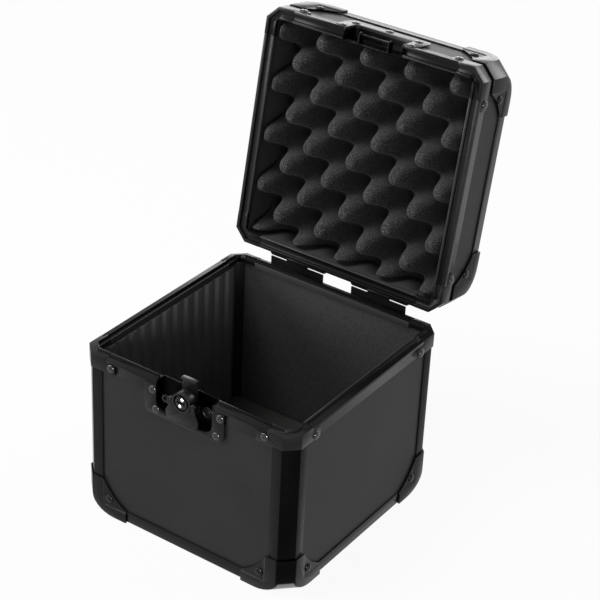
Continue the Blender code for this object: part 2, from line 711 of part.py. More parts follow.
def keeper_dish(carrier, origin):
    """The keeper's dish in the front of the lid, with its bar between two ears."""
    block, cuts = dish((DISH_HALF_WIDTH, KEEPER_RISE, KEEPER_CORNER), KEEPER_PLATE_RISE, 1)
    body = new_object("keeper", shaped(block, cut=cuts))
    centre = Vector((0.0, BAR_INSET, MEETING_Z + BAR_RISE))
    bar = cylinder(BAR_RADIUS, -BAR_HALF_LENGTH - EAR_THICK / 2, BAR_HALF_LENGTH + EAR_THICK / 2,
                   centre, sides=12)
    ears = []
    for sign in (-1, 1):
        low, high = sorted((sign * BAR_HALF_LENGTH, sign * (BAR_HALF_LENGTH + EAR_THICK)))
        outline = [(DISH_DEPTH + DISH_WALL / 2, centre.z - EAR_HALF_HEIGHT),
                   (DISH_DEPTH + DISH_WALL / 2, centre.z + EAR_HALF_HEIGHT),
                   *arc((BAR_INSET, centre.z), EAR_HALF_HEIGHT, math.pi / 2, 3 * math.pi / 2, ROUND_STEPS)]
        ears.append(prism(outline, low, high, SECTION))
    place, turn = side_place("front")
    piece("keeper_dish", shaped(body, [*ears, bar]), "black_steel", carrier, origin, turn, place)


def latch_rotor(carrier):
    """The turning boss, its eccentric, its axle and the two trunnions of the wing."""
    face = -ROTOR_PROUD
    boss = cylinder(ROTOR_RADIUS, face, ROTOR_BACK, direction="Y", sides=32)
    cam = cylinder(CAM_RADIUS, ROTOR_BACK - FIT_GAP, CAM_BACK, Vector((0.0, 0.0, CAM_THROW)), "Y", 20)
    axle = cylinder(AXLE_RADIUS, ROTOR_BACK - FIT_GAP, DISH_DEPTH - FIT_GAP, direction="Y", sides=12)
    trunnion = cylinder(TRUNNION_RADIUS, -TRUNNION_REACH, TRUNNION_REACH,
                        Vector((0.0, -WING_AXIS_PROUD, 0.0)), sides=12)
    collar = cylinder(ROTOR_RADIUS, -WING_AXIS_PROUD - WING_KNUCKLE_RADIUS, face + FIT_GAP,
                      direction="Y", sides=32)
    well = cylinder(ROTOR_RADIUS - ROTOR_RIM, -ROTOR_PROUD - OVERRUN, face + ROTOR_FACE_SINK,
                    direction="Y", sides=32)
    seat = cylinder(PLUG_RADIUS + FIT_GAP, -ROTOR_PROUD - OVERRUN, face + PLUG_DEPTH, direction="Y", sides=24)
    mesh = shaped(boss, [cam, axle, trunnion, collar], [well, seat])
    piece("latch_rotor", mesh, "black_steel", carrier)


def lock_plug(carrier):
    """The lock's plug in the middle of the rotor, with its keyway lying across."""
    front = -ROTOR_PROUD - PLUG_PROUD
    body = cylinder(PLUG_RADIUS, front, -ROTOR_PROUD + PLUG_DEPTH - FIT_GAP, direction="Y", sides=24)
    keyway = box((-KEYWAY_LENGTH / 2, front - OVERRUN, -KEYWAY_WIDTH / 2),
                 (KEYWAY_LENGTH / 2, front + KEYWAY_DEPTH, KEYWAY_WIDTH / 2))
    piece("lock_plug", shaped(body, cut=[keyway]), "black_steel", carrier)


def latch_wing(carrier):
    """The folding wing: it hangs round the rotor, from two knuckles on the rotor's trunnions."""
    bore = ROTOR_RADIUS + WING_ROTOR_GAP
    round_rotor = arc((0.0, 0.0), bore, -math.pi / 2, -math.asin(WING_KNUCKLE_RADIUS / bore), BEND_STEPS)
    side = [(WING_WAIST_HALF, -WING_WAIST_DROP), (WING_FLARE_HALF, -WING_FLARE_DROP),
            (WING_TIP_HALF, -WING_DROP)]
    top = [(bore, 0.0), (WING_ARM_HALF, 0.0)]
    ear = arc((-WING_EAR_OUT, -WING_EAR_DROP), WING_EAR_RADIUS, math.radians(300), math.radians(60),
              2 * BEND_STEPS)
    outline = [*round_rotor, *top, *side, *mirror_x(side), *ear, *mirror_x(top), *mirror_x(round_rotor[1:])]
    eye = arc((-WING_EAR_OUT, -WING_EAR_DROP), WING_EAR_HOLE, 0.0, 2 * math.pi, 3 * BEND_STEPS)[:-1]
    plate = prism(outline, -WING_THICK / 2, WING_THICK / 2, FACE, holes=[eye])
    ends = (WING_KNUCKLE_START, WING_ARM_HALF - FIT_GAP)
    knuckles = [cylinder(WING_KNUCKLE_RADIUS, *sorted(sign * end for end in ends), sides=12)
                for sign in (-1, 1)]
    bore_pin = cylinder(TRUNNION_RADIUS + FIT_GAP, -WING_ARM_HALF - OVERRUN, WING_ARM_HALF + OVERRUN,
                        sides=12)
    piece("latch_wing", shaped(plate, knuckles, [bore_pin]), "black_steel", carrier)


def latch_slide(carrier):
    """The slide in the floor of the dish, which the rotor lifts, with the hook's pin."""
    floor = DISH_DEPTH - HOOK_AXIS_INSET
    back = floor - FIT_GAP
    plate = box((-SLIDE_HALF_WIDTH, back - SLIDE_THICK, -SLIDE_BELOW_PIVOT),
                (SLIDE_HALF_WIDTH, back, SLIDE_ABOVE_PIVOT))
    lugs = []
    for sign in (-1, 1):
        low, high = sorted((sign * SLIDE_HALF_WIDTH, sign * (SLIDE_HALF_WIDTH - LUG_THICK)))
        lugs.append(box((low, -LUG_HALF_HEIGHT, -LUG_HALF_HEIGHT), (high, back - SLIDE_THICK / 2,
                                                                  LUG_HALF_HEIGHT)))
    reach = SLIDE_HALF_WIDTH - LUG_THICK / 2
    pin = cylinder(HOOK_PIN_RADIUS, -reach, reach, sides=12)
    piece("latch_slide", shaped(plate, [*lugs, pin]), "black_steel", carrier)


def latch_hook(carrier):
    """The hook, in its own frame: pivot at the origin, upright as it stands when latched."""
    rise = HOOK_PIVOT_DROP + HOOK_TRAVEL
    under = rise + BAR_RISE + BAR_RADIUS + HOOK_OVER_BAR
    top = under + HOOK_FINGER_THICK
    face = -HOOK_THICK / 2
    tip = BAR_INSET - BAR_RADIUS + HOOK_OVER_BAR - HOOK_AXIS_INSET
    strap = prism([(face, 0.0), (-face, 0.0), (-face, top), (tip, top), (tip, under), (face, under)],
                  -HOOK_HALF_WIDTH, HOOK_HALF_WIDTH, SECTION)
    eye = cylinder(HOOK_EYE_RADIUS, -HOOK_HALF_WIDTH, HOOK_HALF_WIDTH, sides=16)
    bore = cylinder(HOOK_PIN_RADIUS + FIT_GAP, -HOOK_HALF_WIDTH - OVERRUN, HOOK_HALF_WIDTH + OVERRUN,
                    sides=12)
    slot_half = CAM_RADIUS + CAM_THROW + HOOK_SLOT_SIDE_GAP
    slot_rise = CAM_RADIUS + HOOK_SLOT_END_GAP
    middle = rise - ROTOR_DROP - CAM_THROW
    slot = box((-slot_half, -OVERRUN, middle - slot_rise), (slot_half, OVERRUN, middle + slot_rise))
    piece("latch_hook", shaped(strap, [eye], [bore, slot]), "black_steel", carrier)


# Hinges

def knuckle_spans():
    """Where the lower leaf's middle knuckle and the upper leaf's outer ones lie along a hinge."""
    middle = HINGE_WIDTH * KNUCKLE_SHARE / 2
    return [(-middle, middle)], [(-HINGE_WIDTH / 2, -middle - FIT_GAP), (middle + FIT_GAP, HINGE_WIDTH / 2)]


def leaf(spans, plate_from, plate_to, stop):
    """A hinge leaf in the hinge's frame: axis along x, y backwards, z up."""
    front = RIM_PROUD + FIT_GAP - HINGE_AXIS_BEHIND
    back = front + LEAF_THICK
    low, high = sorted((plate_from, plate_to))
    plate = box((-HINGE_WIDTH / 2, front, low), (HINGE_WIDTH / 2, back, high))
    toward = math.copysign(OVERRUN, plate_to)
    joined = []
    for start, end in spans:
        neck_low, neck_high = sorted((0.0, plate_from + toward / 2))
        joined.append(box((start, front, neck_low), (end, back, neck_high)))
        joined.append(cylinder(KNUCKLE_RADIUS, start, end, sides=16))
    if stop:
        # A lug that the open upper leaf comes to rest on
        lug = box((spans[0][0], back + FIT_GAP, HINGE_PIN_RADIUS),
                  (spans[0][1], back + FIT_GAP + STOP_LUG_THICK, STOP_LUG_REACH))
        lug.data.transform(Matrix.Rotation(-OPEN_ANGLE, 4, "X"))
        joined.append(lug)
    bore = cylinder(HINGE_PIN_RADIUS + FIT_GAP, -HINGE_WIDTH, HINGE_WIDTH, sides=16)
    return shaped(plate, joined, [bore])


def hinge_pin_mesh():
    """A pin with a head at each end, turned about its own axis."""
    half = HINGE_WIDTH / 2 + FIT_GAP
    body = cylinder(HINGE_PIN_RADIUS, -half - PIN_HEAD / 2, half + PIN_HEAD / 2, sides=16)
    heads = [cylinder(PIN_HEAD_RADIUS, *sorted((sign * half, sign * (half + PIN_HEAD))), sides=16)
             for sign in (-1, 1)]
    return shaped(body, heads)


def hinges(root, lid_axis):
    """Two hinges, each with a lower leaf, an upper leaf and a pin."""
    lower_spans, upper_spans = knuckle_spans()
    clear = KNUCKLE_RADIUS + KNUCKLE_CLEARANCE
    lower = leaf(lower_spans, -clear, -HINGE_AXIS_ABOVE - LEAF_DROP, stop=True)
    upper = leaf(upper_spans, clear, LEAF_RISE - HINGE_AXIS_ABOVE, stop=False)
    pin = hinge_pin_mesh()
    for hand, sign in (("left", -1), ("right", 1)):
        along = Vector((sign * HINGE_OFFSET, 0.0, 0.0))
        piece(f"hinge_{hand}_lower_leaf", lower.copy(), "black_steel", root, place=HINGE_AXIS + along)
        piece(f"hinge_{hand}_pin", pin.copy(), "black_steel", root, place=HINGE_AXIS + along)
        piece(f"hinge_{hand}_upper_leaf", upper.copy(), "black_steel", lid_axis, place=along)


# Lid

def turned_over(mesh):
    """A piece of the base's foot, turned over to lie in the lid's top."""
    mesh.transform(OVER @ Matrix.Diagonal((1.0, -1.0, 1.0, 1.0)))
    return mesh


def lid_walls(axis):
    """Four walls mitred at the chamfered corners, and the top."""
    cut = CORNER_CHAMFER + PANEL_FACE * (math.sqrt(2) - 1)
    meet = (CORNER_CHAMFER + PANEL_FACE * math.sqrt(2)) / 2
    shift = FIT_GAP / math.sqrt(2)
    low = MEETING_Z + RIM_SEAT
    high = LID_TOP_Z - WALL_END
    for side in SIDES:
        end = side_length(side) / 2
        right = [(end - cut - shift, PANEL_FACE), (end - meet - shift, meet),
                 (end - PANEL_BACK - shift, PANEL_BACK)]
        outline = [*right, *((-across, up) for across, up in reversed(right))]
        wall = prism(outline, low, high)
        # The caps' roundings, at the two ends of this side
        cuts = [moved(foot_cutter(CAP_PROUD), OVER @ Matrix.Translation((sign * end, 0.0, 0.0)) @ turned)
                for sign, turned in ((-1, Matrix.Identity(4)), (1, Matrix.Rotation(math.pi / 2, 4, "Z")))]
        if side == "front":
            cuts.append(wall_notch("lid"))
        place, turn = side_place(side)
        piece(f"lid_{side}_wall", shaped(wall, cut=cuts), "laminate", axis, HINGE_AXIS, turn, place)
    piece("lid_top_panel", turned_over(end_panel()), "laminate", axis, HINGE_AXIS)


def foam_height(x, y, to_edge):
    """How far the foam stands off its back: staggered fingers with round tips, rounded at the pad's edge."""
    bump = LID_TOP_Z - PANEL_BACK - FIT_GAP - FOAM_BACK - MEETING_Z - FOAM_TIP_GAP
    across = x - FOAM_START_X - FOAM_SLANT * y
    wave = math.cos(2 * math.pi * across / FOAM_PITCH) * math.cos(math.pi * (y - FOAM_START_Y) / FOAM_ROW)
    finger = ((1 + math.sin(wave * math.pi / 2)) / 2) ** FOAM_TAPER
    short = max(0.0, 1 - to_edge / FOAM_EDGE_ROUND)
    return FOAM_BACK + bump * finger * math.sqrt(1 - short * short)


def foam_pad(axis):
    """Egg-crate foam glued under the lid's top, bumps downwards."""
    back = LID_TOP_Z - PANEL_BACK - FIT_GAP
    half_x = CASE_WIDTH / 2 - RIM_WIDTH - FOAM_SIDE_GAP
    half_y = CASE_DEPTH / 2 - RIM_WIDTH - FOAM_SIDE_GAP
    work = bmesh.new()
    bmesh.ops.create_grid(work, x_segments=FOAM_CELLS, y_segments=FOAM_CELLS, size=1.0)
    bmesh.ops.scale(work, verts=work.verts, vec=(half_x, half_y, 1.0))
    for vertex in work.verts:
        to_edge = min(half_x - abs(vertex.co.x), half_y - abs(vertex.co.y))
        vertex.co.z = back - foam_height(vertex.co.x, vertex.co.y, max(0.0, to_edge))
    border = [edge for edge in work.edges if edge.is_boundary]
    walls = bmesh.ops.extrude_edge_only(work, edges=border)["geom"]
    for vertex in (item for item in walls if isinstance(item, bmesh.types.BMVert)):
        vertex.co.z = back
    rear = [edge for edge in work.edges if edge.is_boundary]
    bmesh.ops.contextual_create(work, geom=rear)
    bmesh.ops.recalc_face_normals(work, faces=work.faces)
    mesh = bpy.data.meshes.new("foam")
    work.to_mesh(mesh)
    work.free()
    # It is cut away round the back of the keeper's dish
    half = DISH_HALF_WIDTH + DISH_WALL + FOAM_SIDE_GAP
    front = -CASE_DEPTH / 2
    dish_room = box((-half, front, MEETING_Z),
                    (half, front + DISH_DEPTH + DISH_WALL + FOAM_SIDE_GAP,
                     MEETING_Z + KEEPER_RISE + DISH_WALL + FOAM_SIDE_GAP))
    piece("foam_pad", shaped(new_object("foam", mesh), cut=[dish_room]), "foam", axis, HINGE_AXIS)


def handle_plate(axis):
    """The plate on the lid's top, with an upright ear at each end for the bail."""
    surface = LID_TOP_Z - PANEL_FACE + FIT_GAP
    half = HANDLE_EAR_OFFSET + HANDLE_EAR_THICK / 2 + HANDLE_PLATE_END
    plate = box((-half, -HANDLE_PLATE_WIDTH / 2, surface),
                (half, HANDLE_PLATE_WIDTH / 2, surface + HANDLE_PLATE_THICK))
    foot = surface + HANDLE_PLATE_THICK / 2
    ears = []
    for sign in (-1, 1):
        middle = sign * HANDLE_EAR_OFFSET
        outline = [(HANDLE_EAR_RADIUS, foot), *arc((0.0, HANDLE_AXIS.z), HANDLE_EAR_RADIUS, 0.0, math.pi, 8),
                   (-HANDLE_EAR_RADIUS, foot)]
        ears.append(prism(outline, middle - HANDLE_EAR_THICK / 2, middle + HANDLE_EAR_THICK / 2, SECTION))
    bore = cylinder(HANDLE_WIRE_RADIUS + FIT_GAP, -CASE_WIDTH, CASE_WIDTH, HANDLE_AXIS, sides=16)
    piece("handle_plate", shaped(plate, ears, [bore]), "black_steel", axis, HINGE_AXIS)


def handle_grip(carrier):
    """A wire bail with a moulded grip, in its own frame: axis along x, bail towards +y."""
    end = HANDLE_EAR_OFFSET + HANDLE_EAR_THICK / 2 + HANDLE_WIRE_OVERHANG
    inner = HANDLE_EAR_OFFSET - HANDLE_EAR_THICK / 2 - HANDLE_WIRE_RADIUS - FIT_GAP
    bend = HANDLE_BEND
    foot = arc((inner + HANDLE_WIRE_RADIUS, HANDLE_WIRE_RADIUS), HANDLE_WIRE_RADIUS,
               -math.pi / 2, -math.pi, 2)
    turn = arc((inner - bend, HANDLE_DROP - bend), bend, 0.0, math.pi / 2, BEND_STEPS)
    right = [(end, 0.0), *foot, *turn]
    route = [*right, *((-across, up) for across, up in reversed(right))]
    curve = bpy.data.curves.new("bail", "CURVE")
    curve.dimensions = "3D"
    curve.bevel_depth = HANDLE_WIRE_RADIUS
    curve.bevel_resolution = 2
    curve.use_fill_caps = True
    spline = curve.splines.new("POLY")
    spline.points.add(len(route) - 1)
    for point, (across, up) in zip(spline.points, route):
        point.co = (across, up, 0.0, 1.0)
    wire_curve = new_object("bail", curve)
    wire = new_object("bail_mesh", mesh_of(wire_curve))
    bpy.data.objects.remove(wire_curve)
    half = inner - bend - HANDLE_GRIP_END_GAP
    grip = cylinder(HANDLE_GRIP_RADIUS, -half, half, Vector((0.0, HANDLE_DROP, 0.0)), sides=20)
    piece("handle_grip", shaped(wire, [grip]), "rubber", carrier)


def bounds():
    """Lowest and highest corners of all the pieces as they stand."""
    graph = bpy.context.evaluated_depsgraph_get()
    corners = []
    for obj in bpy.data.collections[PARTS].objects:
        if obj.type == "MESH":
            placed = obj.evaluated_get(graph)
            corners += [placed.matrix_world @ vertex.co for vertex in placed.data.vertices]
    low = Vector([min(corner[axis] for corner in corners) for axis in range(3)])
    high = Vector([max(corner[axis] for corner in corners) for axis in range(3)])
    return low, high


def build():
    """Make every piece, open the lid, and centre the case over its origin."""
    for obj in list(bpy.data.objects):
        bpy.data.objects.remove(obj)
    bpy.context.scene.collection.children.link(bpy.data.collections.new(PARTS))
    root = empty("case_root", Vector())
    lid_axis = empty("lid_axis", HINGE_AXIS, root)

    base_walls(root)
    base_posts(root)
    piece("base_edging", edging_ring(), "black_aluminium", root)
    rims("base", -1, True, root, Vector())
    braces("base", -1, True, root, Vector())
    caps("base", root, Vector())
    liners(root)
    latch_dish(root)

    rotor_axis = empty("rotor_axis", ROTOR_AXIS, root)
    wing_axis = empty("wing_axis", WING_AXIS, rotor_axis, ROTOR_AXIS)
    hook_axis = empty("hook_axis", HOOK_AXIS, root)
    latch_rotor(rotor_axis)
    lock_plug(rotor_axis)
    latch_wing(wing_axis)
    latch_slide(hook_axis)
    hook_swing = empty("hook_swing", Vector(), hook_axis)
    latch_hook(hook_swing)
    hook_swing.rotation_euler.x = -HOOK_SWING

    lid_walls(lid_axis)
    piece("lid_edging", turned_over(edging_ring()), "black_aluminium", lid_axis, HINGE_AXIS)
    rims("lid", 1, False, lid_axis, HINGE_AXIS)
    braces("lid", 1, False, lid_axis, HINGE_AXIS)
    caps("lid", lid_axis, HINGE_AXIS)
    keeper_dish(lid_axis, HINGE_AXIS)
    foam_pad(lid_axis)
    hinges(root, lid_axis)
    handle_plate(lid_axis)
    handle_axis = empty("handle_axis", HANDLE_AXIS, lid_axis, HINGE_AXIS)
    handle_grip(handle_axis)

    lid_axis.rotation_euler.x = -OPEN_ANGLE
    handle_axis.rotation_euler.x = HANDLE_HANG
    bpy.context.view_layer.update()
    low, high = bounds()
    root.location = (0.0, -(low.y + high.y) / 2, 0.0)
    bpy.context.view_layer.update()
    print("case bounds", *(f"{value:.5f}" for value in (*low, *high)))
    for axis in (lid_axis, rotor_axis, wing_axis, hook_axis, handle_axis):
        print(axis.name, *(f"{value:.6f}" for value in axis.matrix_world.translation))


build()
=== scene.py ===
"""Looks of the record carrying case: its finishes, small hardware, foam, lights and camera."""
from __future__ import annotations

import json
import logging
import math
from dataclasses import dataclass, field
from enum import Enum
from typing import Iterable, Sequence

import bpy
from mathutils import Matrix, Vector

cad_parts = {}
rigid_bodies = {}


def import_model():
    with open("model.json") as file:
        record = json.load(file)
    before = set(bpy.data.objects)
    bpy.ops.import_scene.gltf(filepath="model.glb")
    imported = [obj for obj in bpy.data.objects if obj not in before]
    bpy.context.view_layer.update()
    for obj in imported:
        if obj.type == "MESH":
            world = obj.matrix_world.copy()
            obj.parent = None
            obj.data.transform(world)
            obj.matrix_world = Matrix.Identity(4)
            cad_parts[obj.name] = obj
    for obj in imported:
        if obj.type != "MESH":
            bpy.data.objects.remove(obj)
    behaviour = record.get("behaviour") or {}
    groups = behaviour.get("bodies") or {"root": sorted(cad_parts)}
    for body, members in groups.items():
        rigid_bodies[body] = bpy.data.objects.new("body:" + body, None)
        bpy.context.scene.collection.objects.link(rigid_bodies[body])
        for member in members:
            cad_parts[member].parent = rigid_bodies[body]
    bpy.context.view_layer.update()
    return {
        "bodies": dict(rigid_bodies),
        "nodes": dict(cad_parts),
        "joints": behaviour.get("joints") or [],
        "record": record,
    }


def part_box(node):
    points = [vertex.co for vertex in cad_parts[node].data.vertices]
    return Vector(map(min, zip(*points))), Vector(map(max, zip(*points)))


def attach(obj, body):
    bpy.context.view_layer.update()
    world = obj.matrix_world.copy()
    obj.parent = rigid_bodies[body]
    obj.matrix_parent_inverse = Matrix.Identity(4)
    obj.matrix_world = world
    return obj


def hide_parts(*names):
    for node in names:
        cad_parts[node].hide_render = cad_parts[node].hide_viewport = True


logging.basicConfig(level=logging.INFO, format="%(message)s")
log = logging.getLogger("record_case")

SIDES: tuple[str, ...] = ("front", "right", "back", "left")
CORNERS: tuple[str, ...] = ("front_left", "front_right", "back_right", "back_left")
RIMS: tuple[str, ...] = ("front_left", "front_right", "right", "back", "left")
HALVES: tuple[str, ...] = ("base", "lid")
HANDS: tuple[str, ...] = ("left", "right")

# Points closer than this are one point, in metres
SAME_POINT: float = 0.000002
# Faces that meet at less than this are one face
SAME_FACE: float = math.radians(0.6)
# Range in which most of a noise lies
BULK: tuple[float, float] = (0.3, 0.7)
WHITE: tuple[float, float, float, float] = (1.0, 1.0, 1.0, 1.0)

# Red, green and blue
Colour = tuple[float, float, float]
# Depth of a bump in metres, and its strength
Relief = tuple[float, float]
# Places on a wall, along it and up
Spots = tuple[tuple[float, float], ...]
# Rise and new radius of each step of a turned piece
Steps = tuple[tuple[float, float], ...]


class Grain(Enum):
    """Which way the drawing lines of an extrusion run, with the stretch that draws their noise out."""

    UPRIGHT = (1.0, 1.0, 0.004)
    ACROSS = (0.004, 1.0, 1.0)
    BACKWARDS = (1.0, 0.004, 1.0)


class PaintedShadeZone(Enum):
    """Where a coat is painted near black as painted shade, with the range over which it sets in, in the
    closed case's frame.
    """

    NOWHERE = None
    CHAMFER = (0.2004, 0.2014)
    POCKET = (-0.1046, -0.1036)


# Node trees
class Number:
    """A number in a node tree, on which Python's operators add Math nodes."""

    def __init__(self, sheet: Wiring, socket: bpy.types.NodeSocket) -> None:
        """Hold one output socket of a tree's node."""
        self.sheet = sheet
        self.socket = socket

    def maths(self, operation: str, *values: Number | float) -> Number:
        """Add a Math node with an operation and its inputs in order."""
        node = self.sheet.node("ShaderNodeMath", {"operation": operation}, dict(enumerate(values)))
        return Number(self.sheet, node.outputs[0])

    def __add__(self, other: Number | float) -> Number:
        """Sum."""
        return self.maths("ADD", self, other)

    def __radd__(self, other: float) -> Number:
        """Sum, with the number on the left."""
        return self.maths("ADD", other, self)

    def __sub__(self, other: Number | float) -> Number:
        """Difference."""
        return self.maths("SUBTRACT", self, other)

    def __rsub__(self, other: float) -> Number:
        """Difference, with the number on the left."""
        return self.maths("SUBTRACT", other, self)

    def __mul__(self, other: Number | float) -> Number:
        """Product."""
        return self.maths("MULTIPLY", self, other)

    def __rmul__(self, other: float) -> Number:
        """Product, with the number on the left."""
        return self.maths("MULTIPLY", other, self)

    def size(self) -> Number:
        """This number without its sign."""
        return self.maths("ABSOLUTE", self)

    def most(self, other: Number) -> Number:
        """The larger of two numbers."""
        return self.maths("MAXIMUM", self, other)

    def least(self, other: Number) -> Number:
        """The smaller of two numbers."""
        return self.maths("MINIMUM", self, other)

    def above(self, low: float, high: float) -> Number:
        """How far this number has come from low to high, held between 0 and 1.

        Args:
            low: Where it starts.
            high: Where it ends.

        Returns:
            The share of the way.
        """
        span = self.sheet.node("ShaderNodeMapRange", {"clamp": True},
                               {0: self, 1: low, 2: high, 3: 0.0, 4: 1.0})
        return Number(self.sheet, span.outputs[0])


class Wiring:
    """A node tree of a material or of the world."""

    def __init__(self, tree: bpy.types.NodeTree) -> None:
        """Hold the tree."""
        self.tree = tree

    def node(self, kind: str, settings: dict[str, object],
             inputs: dict[int | str, object]) -> bpy.types.Node:
        """Add a node.

        Args:
            kind: The node's type.
            settings: Its own settings, set before its sockets.
            inputs: Values or links of its sockets, by place or name.

        Returns:
            The new node.
        """
        made = self.tree.nodes.new(kind)
        for name, value in settings.items():
            setattr(made, name, value)
        for place, value in inputs.items():
            self.feed(made.inputs[place], value)
        return made

    def feed(self, socket: bpy.types.NodeSocket, value: object) -> None:
        """Set a socket to a value, or link it.

        Args:
            socket: The input socket.
            value: A plain value, a number of this tree or another node's output.
        """
        if isinstance(value, Number):
            self.tree.links.new(value.socket, socket)
        elif isinstance(value, bpy.types.NodeSocket):
            self.tree.links.new(value, socket)
        else:
            socket.default_value = value

    def output(self, node: bpy.types.Node, name: int | str = 0) -> Number:
        """One output of a node, as a number."""
        return Number(self, node.outputs[name])

    def seen(self) -> Number:
        """One for rays from the lens and for rays that glossy or clear surfaces send on.

        Returns:
            The mask, which is zero for all other rays.
        """
        path = self.node("ShaderNodeLightPath", {}, {})
        direct, glossy, clear = (self.output(path, f"Is {kind} Ray")
                                 for kind in ("Camera", "Glossy", "Transmission"))
        return direct.most(glossy).most(clear)


class Sheet(Wiring):
    """The node tree of one material."""

    def __init__(self, name: str) -> None:
        """Start a material with a bare surface shader.

        Args:
            name: The material's name.
        """
        self.material = bpy.data.materials.new(name)
        self.material.use_nodes = True
        super().__init__(self.material.node_tree)
        self.shader = self.tree.nodes["Principled BSDF"]

    def mapped(self, coordinates: bpy.types.NodeSocket | None = None,
               **inputs: object) -> bpy.types.NodeSocket:
        """Send coordinates through a Mapping node.

        Args:
            coordinates: The coordinates' socket, or nothing for the object's own.
            inputs: The node's Location, Rotation or Scale.

        Returns:
            The new coordinates' socket.
        """
        if coordinates is None:
            coordinates = self.node("ShaderNodeTexCoord", {}, {}).outputs["Object"]
        return self.node("ShaderNodeMapping", {"vector_type": "POINT"},
                         {"Vector": coordinates, **inputs}).outputs[0]

    def place(self, stretch: Sequence[float] = (1.0, 1.0, 1.0), tilt: float = 0.0) -> bpy.types.NodeSocket:
        """Object coordinates, turned back by a tilt about X and then stretched."""
        turned = self.mapped(Rotation=(tilt, 0.0, 0.0)) if tilt else None
        return self.mapped(turned, Scale=tuple(stretch))

    def noise(self, place: bpy.types.NodeSocket, scale: float, detail: float = 2.0,
              roughness: float = 0.5) -> Number:
        """Noise that runs from 0 to 1.

        Args:
            place: Coordinates that it is read at.
            scale: Waves a metre.
            detail: How many finer layers it has.
            roughness: Share of each finer layer.

        Returns:
            The noise.
        """
        made = self.node("ShaderNodeTexNoise", {}, {"Vector": place, "Scale": scale, "Detail": detail,
                                                    "Roughness": roughness})
        return Number(self, made.outputs[0])

    def cells(self, place: bpy.types.NodeSocket, scale: float, smooth: float = 0.4) -> Number:
        """Distance from the middle of rounded cells.

        Args:
            place: Coordinates that it is read at.
            scale: Cells a metre.
            smooth: How soft the borders between cells are.

        Returns:
            The distance, in cells.
        """
        made = self.node("ShaderNodeTexVoronoi", {"feature": "SMOOTH_F1"},
                         {"Vector": place, "Scale": scale, "Smoothness": smooth})
        return Number(self, made.outputs["Distance"])

    def axes(self, back: Matrix) -> tuple[Number, Number, Number]:
        """Place in the closed case, as three numbers.

        Args:
            back: From the row's frame to the closed case's.

        Returns:
            The place along X, Y and Z.
        """
        turned = self.mapped(Location=tuple(back.translation), Rotation=tuple(back.to_euler()))
        split = self.node("ShaderNodeSeparateXYZ", {}, {0: turned})
        return self.output(split, "X"), self.output(split, "Y"), self.output(split, "Z")

    def folded(self, back: Matrix) -> tuple[Number, Number, Number]:
        """Distances from the closed case's two middle planes, and the height in it."""
        across, along, up = self.axes(back)
        return across.size(), along.size(), up

    def zone(self, zone: PaintedShadeZone, back: Matrix) -> Number | float:
        """One inside a zone and zero outside it.

        Args:
            zone: The zone.
            back: From the row's frame to the closed case's.

        Returns:
            The mask, or plain zero where there is no zone.
        """
        if zone is PaintedShadeZone.NOWHERE:
            return 0.0
        if zone is PaintedShadeZone.POCKET:
            return self.axes(back)[1].above(*zone.value)
        across, along, _ = self.folded(back)
        return (across + along).above(*zone.value)

    def blend(self, amount: Number, low: Colour | bpy.types.NodeSocket,
              high: Colour) -> bpy.types.NodeSocket:
        """Mix two colours by a number.

        Args:
            amount: The share of the second colour.
            low: The first colour, plain or already mixed.
            high: The second colour.

        Returns:
            The mixed colour's socket.
        """
        first = low if isinstance(low, bpy.types.NodeSocket) else (*low, 1.0)
        return self.node("ShaderNodeMix", {"data_type": "RGBA"},
                         {0: amount, 6: first, 7: (*high, 1.0)}).outputs[2]

    def bump(self, height: Number, depth: float, strength: float = 1.0) -> None:
        """Raise the surface by a height that runs from 0 to 1."""
        made = self.node("ShaderNodeBump", {}, {"Height": height, "Distance": depth, "Strength": strength})
        self.feed(self.shader.inputs["Normal"], made.outputs[0])

    def set(self, **sockets: object) -> None:
        """Set the shader's own sockets, named with underscores for spaces."""
        for name, value in sockets.items():
            self.feed(self.shader.inputs[name.replace("_", " ")], value)

    def finished(self, height: Number, relief: Relief, **sockets: object) -> bpy.types.Material:
        """Set the shader's sockets and raise the surface.

        Args:
            height: Height of the surface, from 0 to 1.
            relief: Depth and strength of the bump.
            sockets: The shader's own sockets.

        Returns:
            The finished material.
        """
        self.set(**sockets)
        self.bump(height, *relief)
        return self.material


# Finishes
@dataclass(frozen=True)
class PebbledLaminate:
    """Thin black laminate pressed with a fine pebble, as on the wall panels; inside the case it is plainer,
    and painted lighter as painted fill light.
    """

    name: str = "pebbled_laminate"
    dark: Colour = (0.0095, 0.0095, 0.0099)
    light: Colour = (0.0180, 0.0180, 0.0187)
    # Painted fill light: the inside faces take this much lighter colour, for light that doesn't reach into
    # the case
    inside: Colour = (0.052, 0.052, 0.054)
    inner: float = 0.0985
    ceiling: float = 0.2025
    blur: float = 0.0004
    cloud_scale: float = 16.0
    pebble_scale: float = 1350.0
    grain_share: float = 0.35
    specular: float = 0.16
    relief: Relief = (0.00006, 0.7)

    def build(self, back: Matrix, half: str) -> bpy.types.Material:
        """Make the material.

        Args:
            back: From the row's frame to the closed case's.
            half: Which half of the case it covers.

        Returns:
            The material.
        """
        sheet = Sheet(f"{self.name}_{half}")
        place = sheet.place()
        across, along, up = sheet.folded(back)
        beside = across.most(along).above(self.inner, self.inner + self.blur)
        # Painted fill light: one on the faces inside the case, which are painted lighter and made rougher
        painted_fill_inside = (1 - beside) * (1 - up.above(self.ceiling, self.ceiling + self.blur))
        clouds = sheet.noise(place, self.cloud_scale, 4.0).above(*BULK)
        grain = sheet.noise(place, self.pebble_scale * self.grain_share, 2.0).above(*BULK)
        pebbles = sheet.cells(place, self.pebble_scale)
        outside = sheet.blend(clouds * 0.6 + grain * 0.4, self.dark, self.light)
        return sheet.finished(1 - pebbles, self.relief, Specular_IOR_Level=self.specular,
                              Base_Color=sheet.blend(painted_fill_inside * (0.6 + grain * 0.4), outside, self.inside),
                              Roughness=0.43 + clouds * 0.08 + pebbles * 0.08 + painted_fill_inside * 0.2)


